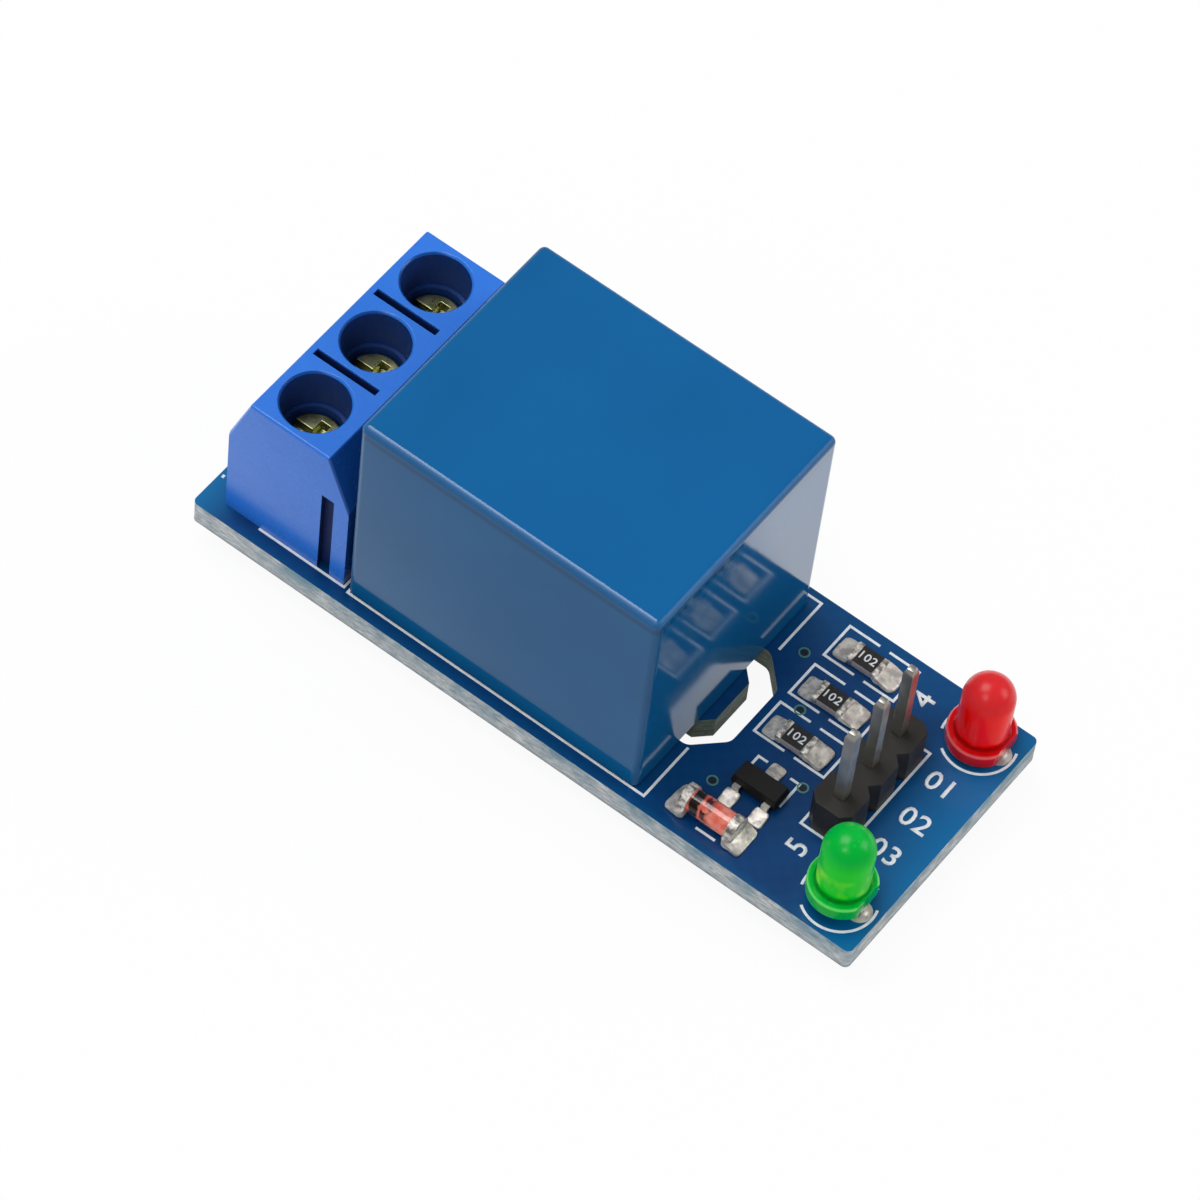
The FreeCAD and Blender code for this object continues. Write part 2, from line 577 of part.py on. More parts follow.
def relay_fixed_contact(side, tongue_z, facing):
    """Blade from the pin up to a tongue over or under the moving contact."""
    y = side * PIN_SPREAD
    seat = BASE_TOP + MAGNET_PLAY
    top = tongue_z + BLADE_THICK
    half = BLADE_SPREAD / 2
    low, high = sorted((y + side * half, -side * CONTACT_R))
    disc_z = top if facing > 0 else tongue_z - CONTACT_RISE
    return fuse([blade_tail(CONTACT_X, y, seat + BLADE_THICK),
                 block(CONTACT_X, y, seat, BLADE_THICK, BLADE_SPREAD, top - seat),
                 box(CONTACT_X - TONGUE_WIDTH / 2, CONTACT_X + TONGUE_WIDTH / 2, low, high,
                     tongue_z, top),
                 rod(CONTACT_X, 0, disc_z, CONTACT_R, CONTACT_RISE)])


def header_base():
    """Strip of octagonal blocks, one to a pin, with the pins' square holes."""
    x, half_w, half_p, n = X0 + HEADER_X, HEADER_WIDTH / 2, HEADER_PITCH / 2, HEADER_NOTCH
    right, left = [], []
    for y in header_ys():
        right += [(x + half_w - n, y - half_p), (x + half_w, y - half_p + n),
                  (x + half_w, y + half_p - n), (x + half_w - n, y + half_p)]
        left += [(x - half_w + n, y - half_p), (x - half_w, y - half_p + n),
                 (x - half_w, y + half_p - n), (x - half_w + n, y + half_p)]
    outline = []
    for point in right + left[::-1]:
        if not outline or math.hypot(point[0] - outline[-1][0], point[1] - outline[-1][1]) > 1e-6:
            outline.append(point)
    strip = extrude_xy(outline, Z_TOP, Z_TOP + HEADER_HEIGHT)
    return strip.cut([block(x, y, Z_TOP, PIN_SIZE, PIN_SIZE, HEADER_HEIGHT) for y in header_ys()])


def header_pin(y):
    x, top = X0 + HEADER_X, Z_TOP + HEADER_HEIGHT + PIN_FREE
    point = frustum(x, y, top - PIN_POINT, top, PIN_SIZE, PIN_SIZE * TIP_SHARE)
    return fuse([square_tail(x, y, PIN_SIZE, top - PIN_POINT), point])


def resistor_ys():
    return [RESISTOR_FIRST + i * RESISTOR_PITCH for i in range(RESISTORS)]


def resistor(y):
    length = CHIP_LENGTH - 2 * CHIP_CAP
    return block(X0 + CHIP_X, y, Z_TOP + PAD_LIFT + CAP_PROUD, length, CHIP_WIDTH, CHIP_HEIGHT)


def resistor_caps():
    """Plated ends, a little proud of the ceramic between them."""
    offset = (CHIP_LENGTH - CHIP_CAP) / 2
    return Part.Compound([block(X0 + CHIP_X + side * offset, y, Z_TOP + PAD_LIFT, CHIP_CAP,
                                CHIP_WIDTH + 2 * CAP_PROUD, CHIP_HEIGHT + 2 * CAP_PROUD)
                          for y in resistor_ys() for side in (-1, 1)])


def solder_wedge(x, y, outward, run, rise, width):
    """Hollow-faced fillet from a pad's outer end up a part's end face."""
    outline = [(x, Z_TOP), (x + outward * run, Z_TOP), (x + outward * run * 0.45, Z_TOP + rise * 0.3),
               (x + outward * run * 0.12, Z_TOP + rise * 0.72), (x, Z_TOP + rise)]
    return extrude_xz(outline, y - width / 2, y + width / 2)


def solder_topside():
    """Fillets at the chip resistors, the diode and the transistor's three toes."""
    wedges = [solder_wedge(X0 + CHIP_X + side * CHIP_LENGTH / 2, y, side, FILLET_RUN, FILLET_RISE,
                           CHIP_WIDTH) for y in resistor_ys() for side in (-1, 1)]
    x = X0 + CHIP_X + DIODE_X
    wedges += [solder_wedge(x + side * DIODE_LENGTH / 2, DIODE_Y, side, DIODE_FILLET_RUN,
                            DIODE_FILLET_RISE, DIODE_FILLET_WIDTH) for side in (-1, 1)]
    for x, side in lead_places():
        toe = TRANSISTOR_Y + side * LEAD_REACH
        low, high = sorted((toe, toe + side * LEAD_FOOT))
        slab = box(x - LEAD_WIDTH * 0.85, x + LEAD_WIDTH * 0.85, low, high, Z_TOP, Z_TOP + LEAD_THICK)
        edge = [e for e in slab.Edges if abs(e.Vertexes[0].X - e.Vertexes[1].X) > LEAD_WIDTH
                and abs(e.CenterOfMass.y - (toe + side * LEAD_FOOT)) < 1e-6
                and e.CenterOfMass.z > Z_TOP + LEAD_THICK / 2]
        wedges.append(slab.makeChamfer(LEAD_THICK * 0.9, edge))
    return Part.Compound(wedges)


def lead_places():
    x = X0 + CHIP_X + TRANSISTOR_X
    return [(x - LEAD_SPREAD, -1), (x + LEAD_SPREAD, -1), (x, 1)]


def transistor_leads():
    """Three gull-wing leads, from inside the body down to their toes."""
    solids = []
    for x, side in lead_places():
        knee = TR_WIDTH / 2 + LEAD_THICK
        mid = Z_TOP + TR_LIFT + TR_HEIGHT / 2
        outline = [(TR_WIDTH / 4, mid), (knee + LEAD_THICK, mid), (knee + LEAD_THICK, Z_TOP + LEAD_THICK),
                   (LEAD_REACH, Z_TOP + LEAD_THICK), (LEAD_REACH, Z_TOP), (knee, Z_TOP),
                   (knee, mid - LEAD_THICK), (TR_WIDTH / 4, mid - LEAD_THICK)]
        face = polygon([V(x - LEAD_WIDTH / 2, TRANSISTOR_Y + side * y, z) for y, z in outline])
        solids.append(face.extrude(V(LEAD_WIDTH, 0, 0)))
    return Part.Compound(solids)


def transistor_body():
    """Moulded body that tapers up and down from its parting line."""
    x, y, z0 = X0 + CHIP_X + TRANSISTOR_X, TRANSISTOR_Y, Z_TOP + TR_LIFT
    middle, top = z0 + TR_HEIGHT / 2, z0 + TR_HEIGHT
    small_l, small_w = TR_LENGTH - 2 * TR_TAPER, TR_WIDTH - 2 * TR_TAPER
    body = fuse([frustum(x, y, z0, middle, small_l, TR_LENGTH, small_w, TR_WIDTH),
                 frustum(x, y, middle, top, TR_LENGTH, small_l, TR_WIDTH, small_w)])
    return body.cut(transistor_leads().Solids)


def along_x(cx, length, r, y, z):
    return Part.makeCylinder(r, length, V(cx - length / 2, y, z), V(1, 0, 0))


DIODE_Z = Z_TOP + PAD_LIFT + DIODE_CAP_R


def diode_glass():
    return along_x(X0 + CHIP_X + DIODE_X, DIODE_LENGTH - 2 * DIODE_CAP, DIODE_R, DIODE_Y, DIODE_Z)


def diode_caps():
    offset = (DIODE_LENGTH - DIODE_CAP) / 2
    return Part.Compound([along_x(X0 + CHIP_X + DIODE_X + side * offset, DIODE_CAP, DIODE_CAP_R,
                                  DIODE_Y, DIODE_Z) for side in (-1, 1)])


def led_leads(y, lift):
    """Two leads; inside the lens the first ends in a slim post and the second in a wider cup."""
    middle, half = X0 + LED_X, LED_LEAD / 2
    knee, top = Z_TOP + lift + LED_FLANGE / 2, Z_TOP + lift + LED_FRAME
    leads = []
    for x, side, width in zip(led_xs(), (-1, 1), (LED_LEAD, LED_CUP)):
        inner = middle + side * LED_SPLIT / 2
        stem = square_tail(x, y, LED_LEAD, knee)
        low, high = sorted((inner, x + side * half))
        elbow = box(low, high, y - half, y + half, knee, knee + LED_LEAD)
        low, high = sorted((inner, inner + side * width))
        leads.append(fuse([stem, elbow, box(low, high, y - half, y + half, knee, top)]))
    return Part.Compound(leads)


def led_lens(y, lift):
    """Flanged bullet lens with a flat on the flange at the cathode."""
    x, z0 = X0 + LED_X, Z_TOP + lift
    body = fuse([rod(x, y, z0, LED_FLANGE_R, LED_FLANGE), rod(x, y, z0, LED_R, LED_DOME),
                 Part.makeSphere(LED_R, V(x, y, z0 + LED_DOME))])
    flat = box(x + LED_FLAT, x + LED_FLANGE_R + 1, y - LED_FLANGE_R, y + LED_FLANGE_R,
               z0, z0 + LED_FLANGE)
    return body.cut([flat] + led_leads(y, lift).Solids)


def solder_ring(x, y, r, z):
    angles = [2 * math.pi * i / SOLDER_SIDES for i in range(SOLDER_SIDES)]
    return [V(x + r * math.cos(a), y + r * math.sin(a), z) for a in angles]


def solder_underside(tails):
    """Solder that fills every hole round its tail and draws down into a cone."""
    joints = []
    for x, y, half in tail_places():
        cone = tapered(solder_ring(x, y, half + SOLDER_NECK, Z_UNDER - SOLDER_HEIGHT),
                       solder_ring(x, y, half + SOLDER_SPREAD, Z_UNDER))
        fill = polygon(solder_ring(x, y, half + HOLE_PLAY, Z_UNDER)).extrude(V(0, 0, SOLDER_FILL))
        joints.append(cone.fuse(fill).cut(tails))
    return Part.Compound([solid for joint in joints for solid in joint.Solids])


def build():
    no_z, nc_z = contact_heights()
    nodes = {"circuit_board": circuit_board(), "terminal_housing": terminal_housing()}
    for i, y in enumerate(pole_ys(), 1):
        nodes["terminal_frame_%d" % i] = terminal_frame(y)
        nodes["pressure_plate_%d" % i] = pressure_plate(y)
        nodes["terminal_screw_%d" % i] = terminal_screw(y)
    nodes.update({
        "relay_case": relay_case(), "relay_base": relay_base(), "relay_yoke": relay_yoke(),
        "relay_core": relay_core(), "relay_bobbin": relay_bobbin(), "relay_coil": relay_coil(),
        "relay_coil_pin_1": relay_coil_pin(-1), "relay_coil_pin_2": relay_coil_pin(1),
        "relay_common_terminal": relay_common(), "relay_armature": relay_armature(),
        "relay_contact_spring": relay_spring(),
        "relay_open_contact": relay_fixed_contact(-1, no_z, 1),
        "relay_closed_contact": relay_fixed_contact(1, nc_z, -1),
        "header_base": header_base()})
    for i, y in enumerate(header_ys(), 1):
        nodes["header_pin_%d" % i] = header_pin(y)
    for i, y in enumerate(resistor_ys(), 1):
        nodes["resistor_%d" % i] = resistor(y)
    nodes.update({
        "resistor_end_caps": resistor_caps(), "transistor_body": transistor_body(),
        "transistor_leads": transistor_leads(), "diode_glass": diode_glass(),
        "diode_end_caps": diode_caps(),
        "led_red_lens": led_lens(RED_Y, RED_LIFT), "led_red_leads": led_leads(RED_Y, RED_LIFT),
        "led_green_lens": led_lens(GREEN_Y, GREEN_LIFT),
        "led_green_leads": led_leads(GREEN_Y, GREEN_LIFT), "solder_topside": solder_topside()})
    tails = [solid for name, shape in nodes.items() if "lens" not in name for solid in shape.Solids
             if solid.BoundBox.ZMin < Z_UNDER - 1e-6]
    nodes["solder_underside"] = solder_underside(tails)
    return nodes


os.makedirs("parts", exist_ok=True)
for name, shape in build().items():
    shape.exportStep("parts/%s.step" % name)
    print("%-24s %2d solids  %9.3f mm3" % (name, len(shape.Solids), shape.Volume))
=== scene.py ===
import json
import math

import bpy
from mathutils import Matrix, Vector

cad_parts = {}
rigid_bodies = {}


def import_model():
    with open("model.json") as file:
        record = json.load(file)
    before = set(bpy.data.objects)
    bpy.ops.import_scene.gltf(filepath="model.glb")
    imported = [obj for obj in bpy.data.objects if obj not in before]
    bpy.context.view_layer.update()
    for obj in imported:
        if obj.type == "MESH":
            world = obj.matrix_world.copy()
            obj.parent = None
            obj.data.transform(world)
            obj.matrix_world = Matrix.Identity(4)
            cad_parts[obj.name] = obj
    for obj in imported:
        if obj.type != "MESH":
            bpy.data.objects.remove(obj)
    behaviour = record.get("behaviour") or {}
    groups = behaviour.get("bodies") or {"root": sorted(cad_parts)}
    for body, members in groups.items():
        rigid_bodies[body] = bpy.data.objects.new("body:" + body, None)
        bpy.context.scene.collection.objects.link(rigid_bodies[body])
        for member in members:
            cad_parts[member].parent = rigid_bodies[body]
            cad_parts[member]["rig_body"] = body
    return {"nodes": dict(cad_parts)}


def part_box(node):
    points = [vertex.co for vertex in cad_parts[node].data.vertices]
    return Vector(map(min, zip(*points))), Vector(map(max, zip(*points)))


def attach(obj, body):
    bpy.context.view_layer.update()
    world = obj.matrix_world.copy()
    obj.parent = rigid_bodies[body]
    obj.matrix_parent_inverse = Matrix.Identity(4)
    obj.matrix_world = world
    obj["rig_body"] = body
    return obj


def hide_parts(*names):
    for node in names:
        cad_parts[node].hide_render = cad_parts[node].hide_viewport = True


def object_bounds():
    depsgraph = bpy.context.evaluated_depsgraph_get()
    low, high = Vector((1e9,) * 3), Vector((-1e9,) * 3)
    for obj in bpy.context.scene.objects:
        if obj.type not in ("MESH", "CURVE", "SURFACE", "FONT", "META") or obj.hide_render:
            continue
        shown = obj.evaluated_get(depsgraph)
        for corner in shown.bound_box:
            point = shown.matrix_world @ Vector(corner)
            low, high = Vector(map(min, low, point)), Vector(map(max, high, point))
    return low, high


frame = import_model()
cad_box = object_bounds()

MM = 0.001
CLOSE = 0.0001 * MM             # corners nearer than this are one
COPY_CLOSE = 0.001 * MM         # the same in the copy of a piece of the frame

# Camera, as the photograph was taken
CAMERA_AIM = Vector((0.39, -2.26, 8.0)) * MM
CAMERA_DISTANCE = 350.6 * MM
CAMERA_AZIMUTH = math.radians(30.92)
CAMERA_ELEVATION = math.radians(56.10)
CAMERA_ROLL = math.radians(7.72)
CAMERA_REACH = (0.01, 10.0)     # the nearest and the furthest that it sees
LENS_MM = 201.6
SENSOR_MM = 36.0

# Light
FLOOR_SIZE = 3.0
FLOOR_WHITE = (0.8, 0.8, 0.8)
FLOOR_SEEN = 0.93               # how far the camera sees the floor as plain white
FLOOR_IN_GLOSS = (0.4, 1.25)    # what gloss sees of it, on the camera's side and behind
FLOOR_TURN = (-12, 4)           # where one becomes the other, in millimetres past the frame's middle
SKY_FILL = 0.5
SKY_IN_GLOSS = 0.03             # what gloss sees of the camera's side of the room
SKY_RISE = 0.14                 # how much brighter it sees the far side
SKY_TURN = (-0.2, 0.6)          # directions between which that grows
LAMPS = {                       # place, width, height and watts
    "left_lamp": ((-0.38, -0.03, 0.95), 0.6, 0.6, 5.6),
    "window_lamp": ((0.6, 0.48, 0.46), 0.45, 0.4, 2.0),
    "front_lamp": ((0.02, -0.45, 0.6), 0.24, 0.24, 1.0)}

# Print: its thickness, line and figures
INK = 0.02 * MM
INK_STEP = 0.003 * MM           # how much higher every other line lies
INK_WIDTH = 0.15 * MM
EDGE_CLEAR = 0.1 * MM           # print stops short of the board's edge
FIGURE_SIZE = 1.72 * MM
CODE_SIZE = 0.74 * MM           # figures on the chips
CODE_SHIFT = -0.06 * MM
FIGURE_WEIGHT = 0.012           # share of the size by which strokes swell
FIGURE_SPACING = 1.08
LAMP_RING = 2.08 * MM           # radius of the two arcs round each lamp
LAMP_RING_GAP = 17.5            # degrees from the board's length to the ends of the arcs
ARC_STEP = 6                    # degrees to each piece of an arc

# Print: places in millimetres, as board() takes them
RELAY_LINE = [(29.68, 4.59), (29.68, 0.79), (9.96, 0.79), (9.96, 16.51), (29.68, 16.51), (29.68, 12.77)]
TERMINAL_LINES = ([(3.9, 0.93), (9.61, 0.93), (9.61, 2.0)],
                  [(9.61, 15.0), (9.61, 16.1), (0.25, 16.1)],
                  [(0.25, 2.3), (0.25, 2.36)])
CHIP_ROWS = ((13.97, 16.34), (10.86, 13.18), (7.76, 10.10))    # near and far line of each chip
CHIP_BRACKETS = ((33.60, 31.70), (34.38, 36.25))               # open end and closed end of each half
TRANSISTOR_LINES = ([(33.35, 6.64), (32.83, 6.64), (32.83, 5.6)],
                    [(35.0, 6.60), (35.52, 6.60), (35.52, 4.9)])
DIODE_LINES = ([(33.0, 0.99), (34.1, 0.99)], [(32.8, 2.75), (34.25, 2.75)])
HEADER_LINE = [(36.97, 4.75), (39.67, 4.75), (39.67, 12.58), (36.97, 12.58)]
FIGURES = (("01", 41.25, 11.3, 0), ("02", 41.5, 8.65, 0), ("03", 41.4, 6.1, 0),
           ("4", 37.5, 15.1, math.pi / 2), ("5", 37.75, 3.45, math.pi / 2))
CHIP_CODE = "102"

# Copper
PAD = 0.035 * MM                # thickness of copper
VIAS = ((30.82, 13.41), (32.79, 10.35), (31.86, 3.87), (35.78, 6.55))
VIA_RING, VIA_LINE, VIA_HOLE = 0.335 * MM, 0.235 * MM, 0.18 * MM
VIA_FILL = 0.4 * PAD            # height of the dark disc of painted shade in a via
WIDE_TRACK, NARROW_TRACK = 2.8 * MM, 0.5 * MM

# Solder under the board: half diagonals of the tails, and the cone drawn down each of them
CLAMP_TAIL = 0.64 * MM
COIL_TAIL = 0.42 * MM
PIN_TAIL = 0.45 * MM
CONTACT_TAIL = 0.49 * MM
LEAD_TAIL = 0.35 * MM
LEAD_STEP = 1.27 * MM           # lamp's middle to each lead
BLADE_HALF = 0.2 * MM           # half the thickness of the relay's common blade
CONE_PAD = 0.5 * MM             # tail to the cone's rim
CONE_NECK = 0.06 * MM           # tail to the cone's neck
CONE_DROP = 0.95 * MM
CONE_HOLLOW = 2.4               # power of the curve from rim to neck
CONE_STEPS = 8

# Solder on the board's top, in millimetres: domes as radius and height, and beads
LAMP_DOME = ((0, 0), (0.72, 0), (0.7, 0.035), (0.55, 0.06), (0.4, 0.11), (0.3, 0.18), (0, 0.2))
CHIP_BEADS = {                  # side of the chip, distance from its middle, and the bead's form
    "right": (1, 0.74, dict(length=1.34, width=1.45, rise=0.68, tip=0.4, lumps=0.24)),
    "left": (-1, 0.86, dict(length=1.02, width=1.4, rise=0.52, tip=0.25, lumps=0.16))}
DIODE_BEAD_STEP, DIODE_BEAD = 1.2, dict(length=1.25, width=1.9, rise=0.9, tip=0.2, lumps=0.2)
TOES = ((-0.95, -0.92), (0.95, -0.92), (0, 0.92))              # of the transistor, from its middle
TOE_BEAD = dict(length=1.0, width=0.88, rise=0.34, tip=0.3, lumps=0.1)
BEAD_SAG = 0.12                 # how far a bead's middle sinks, as a share of its rise
LUMP_SIZE = 1.1 * MM

# Lamps: radius of the lens, thickness of its flange and the rounding of their edges
LENS_RADIUS, LENS_FOOT, LENS_SOFT = 1.45 * MM, 1.0 * MM, 0.12 * MM

# Glass cloth that shows through the solder mask, in radians to the metre
WEAVE = 6 / MM

# Hollows of the terminal housing where its finish paints shade, in millimetres
WELL_REACH = 1.96               # just past a well's radius
DIVIDER_REACH = (2.2, 0.3)      # half the length and width round a slot between the poles
GROOVE_PLACE = (1.4, 0.3)       # middle of the joining groove, from the back and from the near end
GROOVE_REACH = (0.56, 0.27)
GROOVE_TOP = 6.6                # above the board
HOLLOW_START = 0.16             # below the top face

# Angles in degrees that tell a flat seam, an edge to round and a smooth surface apart
FLAT_SEAM, SHARP_EDGE, SMOOTH_EDGE = 0.5, 28, 30


def corners(node):
    """The lowest and highest corners of a piece of the frame."""
    near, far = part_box(node)
    return Vector(near), Vector(far)


def middle(node):
    near, far = corners(node)
    return (near + far) / 2


def top_of(node):
    return corners(node)[1].z


def row(stem):
    """The names of three like pieces, such as the poles' screws, the pins or the chips."""
    return ["%s_%d" % (stem, i) for i in (1, 2, 3)]


BOARD_LOW, BOARD_HIGH = corners("circuit_board")
BOARD_TOP, BOARD_UNDER = BOARD_HIGH.z, BOARD_LOW.z
SLOT_X = middle("relay_common_terminal").x      # the milled slot lies round this pin
SLOT_REACH = (5, 5)                             # half the space round it, in millimetres
LAMP_X = middle("led_red_leads").x


def board(x, y, z=0.0):
    """Millimetres from the board's terminal end, its near edge and its top, as a place in the frame."""
    return Vector((BOARD_LOW.x + x * MM, BOARD_LOW.y + y * MM, BOARD_TOP + z * MM))


def on_top(spot, x=0.0, y=0.0):
    """The board's top at a place in plan, moved by millimetres along and across the board."""
    return Vector((spot[0] + x * MM, spot[1] + y * MM, BOARD_TOP))


def under(spot, depth):
    """The place in plan, this deep below the board."""
    return Vector((spot[0], spot[1], BOARD_UNDER - depth))


# Shader expressions

class Value:
    """A number on a shader socket that Python's arithmetic can use."""

    def __init__(self, tree, socket):
        self.tree = tree
        self.socket = socket

    def __add__(self, other):
        return self.tree.maths("ADD", self, other)

    def __sub__(self, other):
        return self.tree.maths("SUBTRACT", self, other)

    def __mul__(self, other):
        return self.tree.maths("MULTIPLY", self, other)

    def __truediv__(self, other):
        return self.tree.maths("DIVIDE", self, other)

    def __rsub__(self, other):
        return self.tree.maths("SUBTRACT", other, self)

    def __rtruediv__(self, other):
        return self.tree.maths("DIVIDE", other, self)

    def __gt__(self, other):
        return self.tree.maths("GREATER_THAN", self, other)

    def __lt__(self, other):
        return self.tree.maths("LESS_THAN", self, other)

    def __abs__(self):
        return self.tree.maths("ABSOLUTE", self)

    __radd__ = __add__
    __rmul__ = __mul__

    def ramp(self, start, end):
        """0 at start, 1 at end, straight between them and level outside."""
        slope = 1 / (end - start)
        return self.tree.maths("MULTIPLY_ADD", self, slope, -start * slope, clamp=True)


class Tree:
    """The nodes of a material or of the sky."""

    def __init__(self, tree):
        self.tree = tree

    def node(self, kind, settings=None, inputs=None):
        made = self.tree.nodes.new(kind)
        for name, value in (settings or {}).items():
            setattr(made, name, value)
        for key, value in (inputs or {}).items():
            self.feed(made.inputs[key], value)
        return made

    def feed(self, socket, value):
        if isinstance(value, Value):
            value = value.socket
        if isinstance(value, bpy.types.NodeSocket):
            self.tree.links.new(value, socket)
        else:
            socket.default_value = value

    def maths(self, operation, *numbers, clamp=False):
        made = self.node("ShaderNodeMath", {"operation": operation, "use_clamp": clamp},
                         dict(enumerate(numbers)))
        return Value(self, made.outputs[0])

    def fold(self, operation, numbers):
        result = numbers[0]
        for number in numbers[1:]:
            result = self.maths(operation, result, number)
        return result

    def highest(self, *numbers):
        return self.fold("MAXIMUM", numbers)

    def lowest(self, *numbers):
        return self.fold("MINIMUM", numbers)

    def split(self, vector):
        parts = self.node("ShaderNodeSeparateXYZ", None, {0: vector})
        return [Value(self, socket) for socket in parts.outputs]

    def rays(self, kind):
        return Value(self, self.node("ShaderNodeLightPath").outputs["Is %s Ray" % kind])


class Finish(Tree):
    """A surface finish: one material and the nodes that make it."""

    def __init__(self, name):
        self.material = bpy.data.materials.new(name)
        self.material.use_nodes = True
        super().__init__(self.material.node_tree)
        self.shader = self.tree.nodes["Principled BSDF"]
        place = self.node("ShaderNodeTexCoord")
        self.place = place.outputs["Object"]
        self.x, self.y, self.z = self.split(self.place)
        self.facing = self.split(place.outputs["Normal"])

    def noise(self, per_mm, detail=3.0, rough=0.5, stretch=(1, 1, 1)):
        """Cloudy pattern, with this many features to the millimetre along each axis."""
        scaled = self.node("ShaderNodeMapping", None,
                           {"Vector": self.place, "Scale": [per_mm * s / MM for s in stretch]})
        made = self.node("ShaderNodeTexNoise", None,
                         {"Vector": scaled.outputs[0], "Scale": 1.0, "Detail": detail,
                          "Roughness": rough})
        return Value(self, made.outputs["Fac"])

    def reach(self, spot):
        """Distance in millimetres from an upright line through a spot."""
        across, along = self.x - spot.x, self.y - spot.y
        return self.maths("SQRT", across * across + along * along) / MM

    def within(self, x, y, reach):
        """1 in a box round a place in plan, with its half sizes in millimetres, and 0 elsewhere."""
        return (abs(self.x - x) < reach[0] * MM) * (abs(self.y - y) < reach[1] * MM)

    def feed_colour(self, socket, colour):
        """Feeds a linked colour, or one given as red, green and blue."""
        self.feed(socket, colour if isinstance(colour, bpy.types.NodeSocket) else (*colour, 1.0))

    def blend(self, factor, first, second):
        """The first colour where the factor is 0, the second where it is 1."""
        made = self.node("ShaderNodeMix", {"data_type": "RGBA"})
        self.feed(made.inputs[0], factor)
        self.feed_colour(made.inputs[6], first)
        self.feed_colour(made.inputs[7], second)
        return made.outputs[2]

    def paint(self, colour):
        self.feed_colour(self.shader.inputs["Base Color"], colour)

    def set(self, **inputs):
        """The shader's inputs by name, with underscores for spaces."""
        for name, value in inputs.items():
            self.feed(self.shader.inputs[name.replace("_", " ")], value)

    def bump(self, height, depth_mm):
        made = self.node("ShaderNodeBump", None, {"Height": height, "Distance": depth_mm * MM,
                                                  "Strength": 1.0})
        self.feed(self.shader.inputs["Normal"], made.outputs[0])
        return self


# Finishes

def drift(f):
    """Slow change of colour, as moulding leaves it."""
    return f.noise(0.12, 2).ramp(0.3, 0.7)


def sheen(f, depth=0.1):
    """Uneven part of a moulded surface's roughness."""
    return f.noise(0.9, 3) * depth


def relief(f, grain_mm, waves_mm=0.0):
    """Fine grain and, on thin walls, slow waves."""
    height = f.noise(9, 2) * grain_mm
    if waves_mm:
        height = height + f.noise(0.22, 1) * waves_mm
    return f.bump(height, 1.0)


def moulded(name, colour, shade, rough, grain_mm=0.003, waves_mm=0.0, ior=1.5):
    """Moulded plastic."""
    f = Finish(name)
    f.paint(f.blend(drift(f), colour, shade))
    f.set(Roughness=sheen(f) + (rough - 0.05), IOR=ior)
    return relief(f, grain_mm, waves_mm).material


def metal(name, colour, shade, rough, patches_per_mm=1.5, relief_mm=0.004):
    """Plated or bare metal with uneven sheen."""
    f = Finish(name)
    patches = f.noise(patches_per_mm, 3).ramp(0.3, 0.7)
    f.paint(f.blend(patches, colour, shade))
    f.set(Metallic=1.0, Roughness=patches * 0.1 + (rough - 0.05))
    return f.bump(f.noise(patches_per_mm * 2.5, 2), relief_mm).material


def board_finish():
    """Dark blue solder mask, tealer along the long edges, on the far side and over copper, and a lighter
    teal near both ends that is painted reflection; glass-epoxy on cut edges, a darker olive in the milled
    slot, partly its own tone and partly painted shade.
    """
    f = Finish("solder_mask")
    flat = abs(f.facing[2]) > 0.5
    half_length, half_width = BOARD_HIGH.x, BOARD_HIGH.y
    # Painted reflection: the mask is painted a lighter teal towards both ends, where it mirrors the bright
    # room.
    lamp_end_painted_reflection = (f.x / half_length).ramp(0.74, 1.02) * 0.85
    terminal_end_painted_reflection = (f.x / -half_length).ramp(0.88, 0.99)
    long_edges = (abs(f.y) / half_width).ramp(0.9, 1.02) * 0.35
    far_side = (f.y / half_width).ramp(0.3, 0.85) * 0.25
    copper = f.noise(0.16, 1.5).ramp(0.35, 0.7) * 0.14
    teal = f.highest(lamp_end_painted_reflection, terminal_end_painted_reflection, long_edges, far_side, copper)
    mask = f.blend(teal, (0.0005, 0.03, 0.132), (0.001, 0.135, 0.34))
    weave = f.maths("SINE", f.x * WEAVE) * f.maths("SINE", f.y * WEAVE)
    mask = f.blend((weave * 0.5 + 0.5) * 0.06, mask, (0.01, 0.12, 0.3))
    layers = f.noise(1.3, 4, 0.7, (1, 1, 5)).ramp(0.35, 0.66)
    glass = f.blend(layers, (0.27, 0.29, 0.3), (0.68, 0.72, 0.74))
    height = (f.z - BOARD_UNDER) / MM
    stain = f.noise(0.6, 3).ramp(0.4, 0.62) * (height.ramp(0.4, 1.4) * 0.55 + 0.2)
    glass = f.blend(stain, glass, (0.07, 0.22, 0.31))
    glass = f.blend(height.ramp(0.25, 0.1) * 0.6, glass, (0.2, 0.24, 0.27))
    # The milled walls of the slot: the glass-epoxy's own olive tone, painted darker as painted shade in
    # the slot under the relay.
    milled = f.blend(layers, (0.08, 0.11, 0.075), (0.19, 0.24, 0.17))
    glass = f.blend(f.within(SLOT_X, 0, SLOT_REACH) * 0.85, glass, milled)
    f.paint(f.blend(flat, glass, mask))
    f.set(Roughness=f.noise(2.5) * 0.06 + 0.62 - flat * 0.4, IOR=1.4)
    return f.bump(f.noise(1.2, 2) * flat + layers * (1 - flat) * 3, 0.006).material


